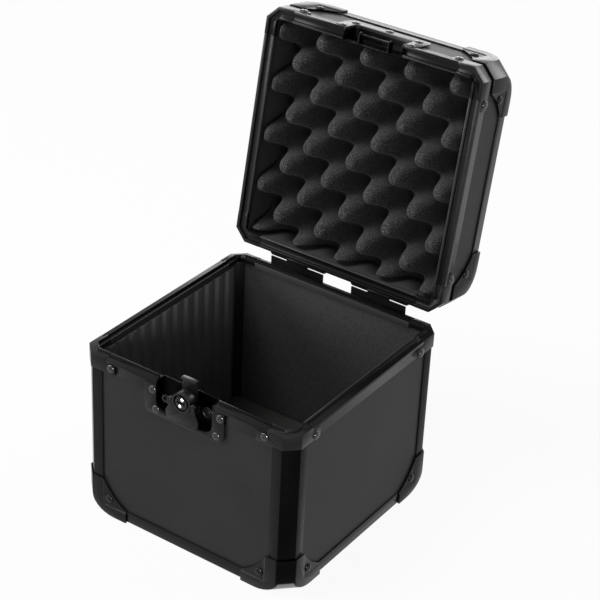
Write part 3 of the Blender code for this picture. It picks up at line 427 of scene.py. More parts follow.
@dataclass(frozen=True)
class PaintedPlywood:
    """Plywood under thin black paint, whose grain just shows."""

    name: str = "painted_plywood"
    dark: Colour = (0.012, 0.0115, 0.011)
    light: Colour = (0.026, 0.0245, 0.023)
    stretch: Sequence[float] = (1.0, 0.05, 1.0)
    grain_scale: float = 420.0
    cloud_scale: float = 22.0
    specular: float = 0.3
    relief: Relief = (0.00018, 0.8)

    def build(self) -> bpy.types.Material:
        """Make the material.

        Returns:
            The material.
        """
        sheet = Sheet(self.name)
        grain = sheet.noise(sheet.place(self.stretch), self.grain_scale, 5.0, 0.62)
        clouds = sheet.noise(sheet.place(), self.cloud_scale, 3.0)
        colour = sheet.blend((grain * 0.7 + clouds * 0.3).above(*BULK), self.dark, self.light)
        return sheet.finished(grain, self.relief, Specular_IOR_Level=self.specular, Base_Color=colour,
                              Roughness=0.62 + grain * 0.2)


@dataclass(frozen=True)
class DrawnAluminium:
    """Black anodised extrusion, with faint lines along its length.

    An upright one is painted near black and made metallic on its chamfer as painted shade, with satin flanges
    beside it. The others are painted lighter inside the case as painted fill light.
    """

    grain: Grain
    tilt: float = 0.0
    gloss: float = 0.13
    name: str = "drawn_aluminium"
    dark: Colour = (0.0022, 0.0022, 0.0024)
    light: Colour = (0.0048, 0.0048, 0.0051)
    # The upright's flanges take this colour; the range below marks its chamfer, painted near black as painted
    # shade
    flange: Colour = (0.0150, 0.0150, 0.0155)
    chamfer: tuple[float, float] = (0.1986, 0.1996)
    # Painted fill light: colour of the faces inside the case, lighter than outside
    inside: Colour = (0.0600, 0.0600, 0.0615)
    inner: float = 0.0966
    blur: float = 0.0003
    line_scale: float = 2600.0
    cloud_scale: float = 26.0
    speck_scale: float = 900.0
    relief: Relief = (0.00002, 0.6)

    def build(self, back: Matrix) -> bpy.types.Material:
        """Make the material.

        Args:
            back: From the row's frame to the closed case's.

        Returns:
            The material.
        """
        sheet = Sheet(f"{self.name}_{self.grain.name.lower()}{'_lid' if self.tilt else ''}")
        lines = sheet.noise(sheet.place(self.grain.value, self.tilt), self.line_scale, 3.0, 0.6)
        clouds = sheet.noise(sheet.place(), self.cloud_scale, 3.0)
        specks = sheet.noise(sheet.place(), self.speck_scale, 1.0).above(0.62, 0.75)
        colour = sheet.blend((lines * 0.6 + clouds * 0.4).above(*BULK), self.dark, self.light)
        across, along, _ = sheet.folded(back)
        if self.grain is Grain.UPRIGHT:
            # Painted shade: the upright's chamfer stays near black and is made metallic, a painted dark
            # reflection
            flat = 1 - (across + along).above(*self.chamfer)
            colour = sheet.blend(flat * (0.7 + lines * 0.3), colour, self.flange)
            sheet.set(Metallic=1 - flat)
        else:
            # Painted fill light: the faces inside the case are painted lighter
            painted_fill_inside = 1 - across.most(along).above(self.inner, self.inner + self.blur)
            colour = sheet.blend(painted_fill_inside * (0.6 + lines * 0.4), colour, self.inside)
        return sheet.finished(lines, self.relief, Specular_IOR_Level=self.gloss, Base_Color=colour,
                              Roughness=0.2 + lines * 0.1 + clouds * 0.05 + specks * 0.05)


@dataclass(frozen=True)
class PowderCoat:
    """Black powder coat on pressed steel, with a soft orange peel, and painted near black in a zone as
    painted shade.

    A border is given for corner caps: the height of their recess's level edge, and 1 or -1 for the way from
    it into the recess. Along the recess's edges the coat is scuffed and also gets a painted highlight. Caps
    with painted shade on the chamfer are feet, and below it their toes get a painted highlight of light
    metal.
    """

    painted_shade: PaintedShadeZone = PaintedShadeZone.NOWHERE
    name: str = "powder_coat"
    dark: Colour = (0.0050, 0.0050, 0.0053)
    light: Colour = (0.0085, 0.0085, 0.0090)
    # Painted shade colour of the zone, where the coat is also made metallic
    black: Colour = (0.0035, 0.0035, 0.0036)
    # Lighter colour of the recess's edges: a painted highlight, mottled by scuffs
    worn_and_lit: Colour = (0.0620, 0.0620, 0.0630)
    # Painted highlight colour of the feet's toes, which are also made metallic
    toe_highlight_grey: Colour = (0.2000, 0.2000, 0.2020)
    toe: float = 0.0125
    face: float = 0.1052
    blur: float = 0.0006
    border: tuple[float, float] | None = None
    recess: float = 0.0830
    line: float = 0.0004
    line_spread: float = 1.8
    stretch: Sequence[float] = (1.0, 0.12, 1.0)
    cloud_scale: float = 30.0
    peel_scale: float = 620.0
    scuff_scale: float = 160.0
    roughness: float = 0.25
    specular: float = 0.16
    relief: Relief = (0.00006, 0.5)

    def build(self, back: Matrix) -> bpy.types.Material:
        """Make the material.

        Args:
            back: From the row's frame to the closed case's.

        Returns:
            The material.
        """
        sheet = Sheet(self.name)
        zone = sheet.zone(self.painted_shade, back)
        place = sheet.place()
        clouds = sheet.noise(place, self.cloud_scale, 4.0).above(*BULK)
        peel = sheet.noise(place, self.peel_scale, 2.0, 0.55)
        scuffs = sheet.noise(sheet.place(self.stretch), self.scuff_scale, 6.0, 0.7).above(0.6, 0.72)
        colour = sheet.blend(clouds * 0.8 + scuffs * 0.2, self.dark, self.light)
        # Painted shade: the zone is painted near black and made metallic
        if self.painted_shade is not PaintedShadeZone.NOWHERE:
            colour = sheet.blend(zone, colour, self.black)
        if self.border:
            # Painted highlight where the recess's step catches light, together with coat scuffed off its
            # edges
            colour = sheet.blend(self.wear_and_highlight(sheet, back) * (0.55 + scuffs * 0.45), colour, self.worn_and_lit)
        # Painted highlight: the feet's toes below the chamfer get a light metal colour and are made metallic
        if self.painted_shade is PaintedShadeZone.CHAMFER:
            toe = self.toe_highlight(sheet, back)
            colour = sheet.blend(toe, colour, self.toe_highlight_grey)
            zone = zone.most(toe)
        return sheet.finished(peel, self.relief, Specular_IOR_Level=self.specular, Metallic=zone,
                              Base_Color=colour, Roughness=self.roughness + clouds * 0.06 + scuffs * 0.12)

    def toe_highlight(self, sheet: Sheet, back: Matrix) -> Number:
        """One on the toes of the feet, below the chamfers, where a painted highlight is laid.

        Args:
            sheet: The material's tree.
            back: From the row's frame to the closed case's.

        Returns:
            The mask.
        """
        across, along, up = sheet.folded(back)
        beside = across.most(along).above(self.face, self.face + self.blur)
        return (1 - beside) * (1 - up.above(self.toe - self.blur, self.toe + self.blur))

    def wear_and_highlight(self, sheet: Sheet, back: Matrix) -> Number:
        """One along the upright and the level edge of a cap's recess, where the coat is scuffed and a painted
        highlight is laid.

        Args:
            sheet: The material's tree.
            back: From the row's frame to the closed case's.

        Returns:
            The mask.
        """
        across, along, up = sheet.folded(back)
        inner = across.least(along)
        foot, sign = self.border
        rise = (up - foot) * sign
        width = (self.line, self.line * self.line_spread)
        upright = (1 - (inner - self.recess).size().above(*width)) * rise.above(-self.line, 0.0)
        level = (1 - rise.size().above(*width)) * (1 - inner.above(self.recess, self.recess + self.line))
        return upright.most(level)


@dataclass(frozen=True)
class LacqueredRivet:
    """Dark lacquer on a rivet head, glossier than the sheet round it."""

    name: str = "lacquered_rivet"
    dark: Colour = (0.007, 0.007, 0.0073)
    light: Colour = (0.016, 0.016, 0.0165)
    scuff_scale: float = 700.0
    specular: float = 0.5
    relief: Relief = (0.00003, 0.4)

    def build(self) -> bpy.types.Material:
        """Make the material.

        Returns:
            The material.
        """
        sheet = Sheet(self.name)
        scuffs = sheet.noise(sheet.place(), self.scuff_scale, 4.0, 0.65).above(0.45, 0.75)
        return sheet.finished(scuffs, self.relief, Specular_IOR_Level=self.specular,
                              Base_Color=sheet.blend(scuffs, self.dark, self.light),
                              Roughness=0.12 + scuffs * 0.10)


@dataclass(frozen=True)
class DarkSteel:
    """Blackened turned steel of the lock's moving parts."""

    name: str = "dark_steel"
    dark: Colour = (0.008, 0.008, 0.0085)
    light: Colour = (0.026, 0.026, 0.027)
    scuff_scale: float = 900.0
    cloud_scale: float = 60.0
    metallic: float = 0.45
    specular: float = 0.25
    relief: Relief = (0.00002, 0.5)

    def build(self) -> bpy.types.Material:
        """Make the material.

        Returns:
            The material.
        """
        sheet = Sheet(self.name)
        place = sheet.place()
        scuffs = sheet.noise(place, self.scuff_scale, 5.0, 0.65)
        clouds = sheet.noise(place, self.cloud_scale, 3.0)
        return sheet.finished(scuffs, self.relief, Specular_IOR_Level=self.specular, Metallic=self.metallic,
                              Base_Color=sheet.blend(scuffs.above(0.35, 0.7), self.dark, self.light),
                              Roughness=0.2 + clouds * 0.16 + scuffs * 0.06)


@dataclass(frozen=True)
class PolishedSteel:
    """Bright polished steel with hairline marks."""

    name: str = "polished_steel"
    bright: Colour = (0.93, 0.93, 0.94)
    marked: Colour = (0.70, 0.70, 0.71)
    stretch: Sequence[float] = (1.0, 1.0, 0.2)
    mark_scale: float = 2400.0

    def build(self) -> bpy.types.Material:
        """Make the material.

        Returns:
            The material.
        """
        sheet = Sheet(self.name)
        marks = sheet.noise(sheet.place(self.stretch), self.mark_scale, 4.0, 0.6).above(0.5, 0.75)
        sheet.set(Base_Color=sheet.blend(marks, self.bright, self.marked), Roughness=0.08 + marks * 0.12,
                  Metallic=1.0)
        return sheet.material


@dataclass(frozen=True)
class CellFoam:
    """Open-celled charcoal foam, painted darker in its valleys and lighter on its finger ends as painted
    shade, with light specks on the ends as painted highlight.
    """

    tip: float
    valley: float
    name: str = "cell_foam"
    dark: Colour = (0.0040, 0.0040, 0.0042)
    light: Colour = (0.021, 0.021, 0.0217)
    # Colour of the painted highlight specks on the finger ends
    tip_glint: Colour = (0.27, 0.27, 0.275)
    pore_scale: float = 950.0
    fine_scale: float = 1500.0
    cloud_scale: float = 30.0
    speck_scale: float = 1350.0
    specular: float = 0.1
    sheen: float = 0.06
    sheen_roughness: float = 0.6
    relief: Relief = (0.0005, 0.8)

    def build(self, back: Matrix) -> bpy.types.Material:
        """Make the material.

        Args:
            back: From the row's frame to the closed case's.

        Returns:
            The material.
        """
        sheet = Sheet(self.name)
        place = sheet.place()
        # Painted shade: the foam is painted darker towards its valleys and lighter towards its finger ends
        reach = sheet.axes(back)[2].above(self.valley, self.tip)
        pores = sheet.cells(place, self.pore_scale, 0.25).above(0.08, 0.6)
        fine = sheet.noise(place, self.fine_scale, 2.0)
        clouds = sheet.noise(place, self.cloud_scale, 3.0)
        shade_and_grain = reach * 0.62 + pores * 0.16 + fine * 0.12 + clouds * 0.12 - 0.08
        body = sheet.blend(shade_and_grain.above(0.0, 1.0), self.dark, self.light)
        # Painted highlight: light specks, laid mostly on the finger ends
        specks = sheet.noise(place, self.speck_scale, 3.0, 0.7).above(0.52, 0.70) * (0.08 + reach * 0.92)
        return sheet.finished(pores * 0.6 + fine * 0.4, self.relief, Specular_IOR_Level=self.specular,
                              Sheen_Weight=self.sheen, Sheen_Roughness=self.sheen_roughness,
                              Base_Color=sheet.blend(specks * 0.8, body, self.tip_glint),
                              Roughness=0.95 + fine * 0.05)


@dataclass(frozen=True)
class MattLiner:
    """Matt black ribbed board inside the side walls."""

    name: str = "matt_liner"
    dark: Colour = (0.040, 0.040, 0.041)
    light: Colour = (0.080, 0.080, 0.082)
    fibre_scale: float = 1500.0
    cloud_scale: float = 35.0
    specular: float = 0.3
    relief: Relief = (0.00008, 0.6)

    def build(self) -> bpy.types.Material:
        """Make the material.

        Returns:
            The material.
        """
        sheet = Sheet(self.name)
        place = sheet.place()
        fibres = sheet.noise(place, self.fibre_scale, 3.0, 0.6)
        clouds = sheet.noise(place, self.cloud_scale, 3.0)
        colour = sheet.blend((fibres * 0.5 + clouds * 0.5).above(*BULK), self.dark, self.light)
        return sheet.finished(fibres, self.relief, Specular_IOR_Level=self.specular, Base_Color=colour,
                              Roughness=0.6 + fibres * 0.2)


@dataclass(frozen=True)
class MouldedRubber:
    """Matt moulded rubber with a fine spark texture."""

    name: str = "moulded_rubber"
    dark: Colour = (0.012, 0.012, 0.012)
    light: Colour = (0.021, 0.021, 0.021)
    spark_scale: float = 1900.0
    cloud_scale: float = 70.0
    specular: float = 0.35
    relief: Relief = (0.00007, 0.6)

    def build(self) -> bpy.types.Material:
        """Make the material.

        Returns:
            The material.
        """
        sheet = Sheet(self.name)
        place = sheet.place()
        spark = sheet.noise(place, self.spark_scale, 3.0, 0.6)
        clouds = sheet.noise(place, self.cloud_scale, 3.0)
        colour = sheet.blend((spark * 0.4 + clouds * 0.6).above(*BULK), self.dark, self.light)
        return sheet.finished(spark, self.relief, Specular_IOR_Level=self.specular, Base_Color=colour,
                              Roughness=0.5 + spark * 0.2)


@dataclass(frozen=True)
class PaleFloor:
    """The studio's pale floor, which the lens and reflections see as white."""

    name: str = "pale_floor"
    colour: Colour = (0.62, 0.62, 0.62)
    roughness: float = 0.9
    whiteness: float = 0.93

    def build(self) -> bpy.types.Material:
        """Make the material.

        Returns:
            The material.
        """
        sheet = Sheet(self.name)
        sheet.set(Base_Color=(*self.colour, 1.0), Roughness=self.roughness, Specular_IOR_Level=0.0)
        white = sheet.node("ShaderNodeEmission", {}, {"Color": WHITE, "Strength": 1.0})
        mix = sheet.node("ShaderNodeMixShader", {}, {0: sheet.seen() * self.whiteness,
                                                     1: sheet.shader.outputs[0], 2: white.outputs[0]})
        sheet.feed(sheet.tree.nodes["Material Output"].inputs["Surface"], mix.outputs[0])
        return sheet.material


# Modelling
def linked(name: str, data: bpy.types.ID | None) -> bpy.types.Object:
    """Make an object of some data and link it to the scene.

    Args:
        name: The object's name.
        data: Its mesh, curve, lamp or camera.

    Returns:
        The new object.
    """
    made = bpy.data.objects.new(name, data)
    bpy.context.scene.collection.objects.link(made)
    return made


class Bench:
    """Modelling steps with Blender's own operators, each on one object at a time."""

    def __init__(self, frame: dict[str, object]) -> None:
        """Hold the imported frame, with the slot and the body of each node.
        """
        self.frame = frame
        self.slots = {row["node"]: row["material_slot"] for row in frame["record"]["subparts"]}
        self.homes = {node: body for body, nodes in frame["record"]["behaviour"]["bodies"].items()
                      for node in nodes}

    @staticmethod
    def pick(obj: bpy.types.Object) -> None:
        """Make one object the only selected and active one, in object mode.

        Args:
            obj: The object.
        """
        Bench.clear()
        obj.select_set(True)
        bpy.context.view_layer.objects.active = obj

    @staticmethod
    def clear() -> None:
        """Leave nothing selected, in object mode."""
        if bpy.context.object and bpy.context.object.mode != "OBJECT":
            bpy.ops.object.mode_set(mode="OBJECT")
        bpy.ops.object.select_all(action="DESELECT")

    @staticmethod
    def closed_up() -> None:
        """Merge the active object's doubles, turn its faces outwards and leave edit mode."""
        bpy.ops.object.mode_set(mode="EDIT")
        bpy.ops.mesh.select_all(action="SELECT")
        bpy.ops.mesh.remove_doubles(threshold=SAME_POINT)
        bpy.ops.mesh.normals_make_consistent(inside=False)
        bpy.ops.object.mode_set(mode="OBJECT")

    def apply(self, obj: bpy.types.Object, kind: str, **settings: object) -> bpy.types.Object:
        """Add a modifier and apply it.

        Args:
            obj: The object.
            kind: The modifier's type.
            settings: The modifier's settings.

        Returns:
            The same object.
        """
        self.pick(obj)
        modifier = obj.modifiers.new(kind.lower(), kind)
        for name, value in settings.items():
            setattr(modifier, name, value)
        bpy.ops.object.modifier_apply(modifier=modifier.name)
        return obj

    def smooth(self, obj: bpy.types.Object, below: float = 32.0) -> bpy.types.Object:
        """Shade a piece smooth where its faces meet at a small angle.

        Args:
            obj: The piece.
            below: The angle, in degrees.

        Returns:
            The same piece.
        """
        self.pick(obj)
        bpy.ops.object.shade_smooth_by_angle(angle=math.radians(below))
        return obj

    def twin(self, node: str, name: str) -> bpy.types.Object:
        """Copy a CAD node into a new piece, with its doubles merged and its flat faces joined.

        Args:
            node: The CAD node.
            name: The new piece's name.

        Returns:
            The new piece.
        """
        made = linked(name, self.frame["nodes"][node].data.copy())
        self.pick(made)
        if made.data.has_custom_normals:
            bpy.ops.mesh.customdata_custom_splitnormals_clear()
        bpy.ops.object.mode_set(mode="EDIT")
        bpy.ops.mesh.select_all(action="SELECT")
        bpy.ops.mesh.remove_doubles(threshold=SAME_POINT)
        bpy.ops.mesh.dissolve_limited(angle_limit=SAME_FACE)
        bpy.ops.object.mode_set(mode="OBJECT")
        return made

    def softened(self, node: str, name: str, width: float, above: float = 35.0) -> bpy.types.Object:
        """A twin of a CAD node with its sharp edges rounded.

        Args:
            node: The CAD node.
            name: The new piece's name.
            width: Width of the rounding.
            above: Smallest angle between faces that is rounded, in degrees.

        Returns:
            The new piece.
        """
        made = self.twin(node, name)
        self.apply(made, "BEVEL", width=width, segments=2, limit_method="ANGLE",
                   angle_limit=math.radians(above), use_clamp_overlap=True, harden_normals=False,
                   miter_outer="MITER_ARC")
        return self.smooth(made)

    def refinished(self, node: str, finish: bpy.types.Material, width: float, name: str = "") -> None:
        """Replace one CAD node by its twin with rounded edges.

        Args:
            node: The CAD node.
            finish: The new piece's material.
            width: Width of the rounding.
            name: The new piece's name, where it isn't the node's with "finished" after it.
        """
        made = self.softened(node, name or f"{node}_finished", width)
        self.fit(made, finish, self.homes[node], self.slots[node], node)

    def turned(self, name: str, radius: float, steps: Iterable[tuple[float, float]],
               sides: int = 28) -> bpy.types.Object:
        """A turned solid that stands on the ground plane, from a disc that is drawn up step by step.

        Args:
            name: The piece's name.
            radius: Radius of the disc.
            steps: Rise and new radius of each step.
            sides: Sides of the disc.

        Returns:
            The new piece, standing at the origin along +Z.
        """
        self.clear()
        bpy.ops.mesh.primitive_circle_add(vertices=sides, radius=radius, fill_type="NGON")
        made = bpy.context.object
        made.name = name
        bpy.ops.object.mode_set(mode="EDIT")
        bpy.ops.mesh.select_mode(type="FACE")
        bpy.ops.mesh.select_all(action="SELECT")
        bpy.ops.mesh.normals_make_consistent(inside=False)
        bpy.ops.mesh.duplicate()
        bpy.ops.mesh.flip_normals()
        bpy.ops.mesh.select_all(action="DESELECT")
        bpy.ops.object.mode_set(mode="OBJECT")
        made.data.polygons[0].select = True
        bpy.ops.object.mode_set(mode="EDIT")
        now = radius
        for rise, wide in steps:
            bpy.ops.mesh.extrude_region_move(TRANSFORM_OT_translate={"value": (0.0, 0.0, rise)})
            bpy.ops.transform.resize(value=(wide / now, wide / now, 1.0))
            now = wide
        self.closed_up()
        return self.smooth(made, below=40.0)

    def seat(self, obj: bpy.types.Object, matrix: Matrix) -> bpy.types.Object:
        """Put a piece in its place by its mesh, and leave its object at the origin.

        Args:
            obj: The piece.
            matrix: Its new place.

        Returns:
            The same piece.
        """
        obj.data.transform(matrix @ obj.matrix_world)
        obj.matrix_world = Matrix.Identity(4)
        if matrix.is_negative:
            obj.data.flip_normals()
        return obj

    def copies(self, pattern: bpy.types.Object, places: Iterable[Matrix], name: str) -> bpy.types.Object:
        """Copy a pattern to several places, join the copies under a name, and remove the pattern.

        Args:
            pattern: The piece that is copied.
            places: Where the copies go.
            name: Name of the joined piece.

        Returns:
            The joined piece.
        """
        made = [self.seat(linked(name, pattern.data.copy()), place) for place in places]
        bpy.data.objects.remove(pattern)
        return self.joined(made, name)

    def joined(self, parts: Sequence[bpy.types.Object], name: str) -> bpy.types.Object:
        """Join pieces into the first one.

        Args:
            parts: The pieces.
            name: Name of the joined piece.

        Returns:
            The joined piece.
        """
        self.pick(parts[0])
        for part in parts[1:]:
            part.select_set(True)
        if len(parts) > 1:
            bpy.ops.object.join()
        parts[0].name = name
        return parts[0]

    @staticmethod
    def dress(obj: bpy.types.Object, finish: bpy.types.Material) -> None:
        """Give the whole object one finish.

        Args:
            obj: The object.
            finish: Its material.
        """
        obj.data.materials.clear()
        obj.data.materials.append(finish)
        for face in obj.data.polygons:
            face.material_index = 0

    def fit(self, obj: bpy.types.Object, finish: bpy.types.Material, body: str, slot: str,
            *nodes: str) -> bpy.types.Object:
        """Dress a finished piece, say which body it rides on and which nodes it stands for.

        Args:
            obj: The piece.
            finish: Its material.
            body: The CAD body that carries it.
            slot: The record's material slot; not used.
            nodes: The CAD nodes that it replaces.

        Returns:
            The same piece.
        """
        self.dress(obj, finish)
        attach(obj, body)
        if nodes:
            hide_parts(*nodes)
        log.info("%s: %d faces, on %s", obj.name, len(obj.data.polygons), body)
        return obj


@dataclass
class CasePlan:
    """Main places of the case, in metres, in the row's frame."""

    width: float = 0.2100
    depth: float = 0.2100
    meeting: float = 0.1557
    lid_top: float = 0.2077
    cap_border: float = 0.0100
    shift: float = -0.04142
    axis: Vector = field(default_factory=lambda: Vector((0.0, 0.06758, 0.1649)))
    open_angle: float = math.radians(100.7)

    def closed(self) -> Matrix:
        """From the closed case's own frame to the row's frame, for what the base carries."""
        return Matrix.Translation((0.0, self.shift, 0.0))

    def lid(self) -> Matrix:
        """From the closed case's own frame to the row's frame, for what the open lid carries."""
        return (Matrix.Translation(self.axis) @ Matrix.Rotation(-self.open_angle, 4, "X")
                @ Matrix.Translation(-self.axis) @ self.closed())

    def backs(self) -> dict[str, Matrix]:
        """From the row's frame back to the closed case's, for each half."""
        return {"base": self.closed().inverted(), "lid": self.lid().inverted()}

    def face(self, side: str, along: float, up: float, proud: float) -> Matrix:
        """A place on an outer wall, with +Z out of the wall.

        Args:
            side: The wall.
            along: Distance from the wall's middle, to its right seen from outside.
            up: Height in the closed case.
            proud: How far out of the outer plane.

        Returns:
            The place in the closed case's frame.
        """
        turn = Matrix.Rotation(SIDES.index(side) * math.pi / 2, 4, "Z")
        spot = Matrix.Translation((along, -self.depth / 2 - proud, up))
        return turn @ spot @ Matrix.Rotation(math.pi / 2, 4, "X")


@dataclass
class Metalwork:
    """The extrusions and pressings, each rounded along its edges."""

    bench: Bench
    plan: CasePlan
    extrusion_edge: float = 0.0004
    rim_edge: float = 0.00025
    brace_edge: float = 0.0003
    cap_edge: float = 0.00025
    leaf_edge: float = 0.00012
    plate_edge: float = 0.0004

    def __post_init__(self) -> None:
        """Make the finishes that the metalwork shares."""
        plan = self.plan
        backs = plan.backs()
        self.coat = PowderCoat().build(backs["base"])
        rise = plan.cap_border
        # The base caps carry painted shade on the chamfer and painted highlights on the toes and the recess's
        # edges; the lid caps carry the painted highlight on the recess's edges
        lower = PowderCoat(PaintedShadeZone.CHAMFER, "base_cap_coat", border=(rise, 1.0))
        upper = PowderCoat(name="lid_cap_coat", border=(plan.lid_top - rise, -1.0))
        self.caps = {"base": lower.build(backs["base"]), "lid": upper.build(backs["lid"])}
        # The posts' chamfers are painted near black as painted shade
        self.post = DrawnAluminium(Grain.UPRIGHT, gloss=0.05).build(backs["base"])
        self.drawn = {}
        for half, tilt in (("base", 0.0), ("lid", plan.open_angle)):
            for grain in (Grain.ACROSS, Grain.BACKWARDS):
                self.drawn[grain, half] = DrawnAluminium(grain, tilt).build(backs[half])
        # Painted light: the lid's side rims are a lighter copy of the same aluminium, for the light they
        # catch
        lit_side_rims = DrawnAluminium(Grain.BACKWARDS, plan.open_angle, name="side_rim",
                               dark=(0.012, 0.012, 0.0123), light=(0.026, 0.026, 0.0265))
        self.drawn[Grain.BACKWARDS, "lid"] = lit_side_rims.build(backs["lid"])

    def build(self) -> None:
        """Make every piece of metalwork but the latch's."""
        refinished = self.bench.refinished
        for corner in CORNERS:
            refinished(f"base_post_{corner}", self.post, self.extrusion_edge)
            for half in HALVES:
                refinished(f"{half}_brace_{corner}", self.coat, self.brace_edge)
                refinished(f"{half}_cap_{corner}", self.caps[half], self.cap_edge)
        for half in HALVES:
            for side in RIMS:
                grain = Grain.BACKWARDS if side in HANDS else Grain.ACROSS
                refinished(f"{half}_rim_{side}", self.drawn[grain, half], self.rim_edge)
            refinished(f"{half}_edging", self.drawn[Grain.ACROSS, half], self.extrusion_edge)
        for hand in HANDS:
            for part in ("lower_leaf", "upper_leaf", "pin"):
                refinished(f"hinge_{hand}_{part}", self.coat, self.leaf_edge)
        refinished("handle_plate", self.coat, self.plate_edge)


@dataclass
class Rivets:
    """Domed blind rivets, with the pin's hole in the middle of each head."""

    bench: Bench
    plan: CasePlan
    radius: float = 0.0037
    height: float = 0.0014
    edge: float = 0.00025
    hole: float = 0.0006
    hole_depth: float = 0.0007
    dome: float = math.radians(68)
    dome_steps: int = 7
    brace_proud: float = 0.0011
    dish_proud: float = 0.0010
    from_corner: float = 0.0290
    from_meeting: float = 0.0098
    front_drop: float = 0.0074
    front_spots: tuple[float, ...] = (-0.0745, 0.0783)
    dish_spots: Spots = ((-0.0315, -0.0092), (0.0355, -0.0092), (-0.0280, -0.0268), (0.0322, -0.0268))
    keeper_spots: Spots = ((-0.0335, 0.0045), (0.0335, 0.0045), (-0.031, 0.0215), (0.0, 0.0255),
                           (0.031, 0.0215))
    hinge_middle: float = 0.0423
    leaf_across: float = 0.018
    leaf_drop: float = 0.0250
    foot_from_corner: float = 0.0275
    foot_up: float = 0.0175
    top_from_corner: float = 0.0289
    top_down: float = 0.0174

    def head(self) -> bpy.types.Object:
        """Model one rivet head that stands along +Z.

        Returns:
            The head.
        """
        steps = [(self.edge, self.radius)]
        count = self.dome_steps
        for step in range(1, count + 1):
            angle = step / count * self.dome
            wide = self.radius * (math.cos(angle) if step < count else self.hole / self.radius)
            rise = self.height * (math.sin(angle) - math.sin(angle - self.dome / count))
            steps.append((rise, wide))
        steps += [(-0.0001, self.hole * 0.86), (-self.hole_depth, self.hole * 0.8), (0.0, self.hole * 0.4)]
        return self.bench.turned("rivet_head", self.radius, steps)

    def wall_places(self, sides: Iterable[str], from_corner: float, up: float) -> list[Matrix]:
        """Rivet places near both ends of some walls.

        Args:
            sides: The walls.
            from_corner: Distance from the case's corner.
            up: Height in the closed case.

        Returns:
            The places in the closed case's frame.
        """
        reach = self.plan.width / 2 - from_corner
        return [self.plan.face(side, sign * reach, up, self.brace_proud)
                for side in sides for sign in (-1, 1)]

    def spot_places(self, spots: Spots) -> list[Matrix]:
        """Rivet places on the front wall, from the meeting plane's middle."""
        return [self.plan.face("front", along, self.plan.meeting + up, self.dish_proud)
                for along, up in spots]

    def base_places(self) -> list[Matrix]:
        """Every rivet on the base but the caps', in the closed case's frame.

        Returns:
            The places.
        """
        plan = self.plan
        places = self.wall_places(SIDES[1:], self.from_corner, plan.meeting - self.from_meeting)
        places += [plan.face("front", along, plan.meeting - self.front_drop, self.brace_proud)
                   for along in self.front_spots]
        places += self.spot_places(self.dish_spots)
        places += [plan.face("back", hinge * self.hinge_middle + end * self.leaf_across,
                             plan.meeting - self.leaf_drop, self.dish_proud)
                   for hinge in (-1, 1) for end in (-1, 1)]
        return places

    def lid_places(self) -> list[Matrix]:
        """Every rivet on the lid but the caps', in the closed case's frame."""
        places = self.wall_places(SIDES, self.from_corner, self.plan.meeting + self.from_meeting)
        return places + self.spot_places(self.keeper_spots)

    def cap_places(self, half: str) -> list[Matrix]:
        """The rivets through one half's corner caps.

        Args:
            half: Which half of the case.

        Returns:
            The places in the closed case's frame.
        """
        if half == "base":
            return self.wall_places(SIDES, self.foot_from_corner, self.foot_up)
        return self.wall_places(SIDES, self.top_from_corner, self.plan.lid_top - self.top_down)

    def build(self, finish: bpy.types.Material, painted: bpy.types.Material) -> None:
        """Set the rivets in the base and in the lid.

        Args:
            finish: Material of the lacquered heads outside the caps.
            painted: Material of the heads in the caps.
        """
        for half, places, frame in (("base", self.base_places(), self.plan.closed()),
                                    ("lid", self.lid_places(), self.plan.lid())):
            for kind, spots, cover in (("rivets", places, finish),
                                       ("cap_rivets", self.cap_places(half), painted)):
                made = self.bench.copies(self.head(), [frame @ spot for spot in spots], f"{half}_{kind}")
                self.bench.fit(made, cover, half, "black_steel")


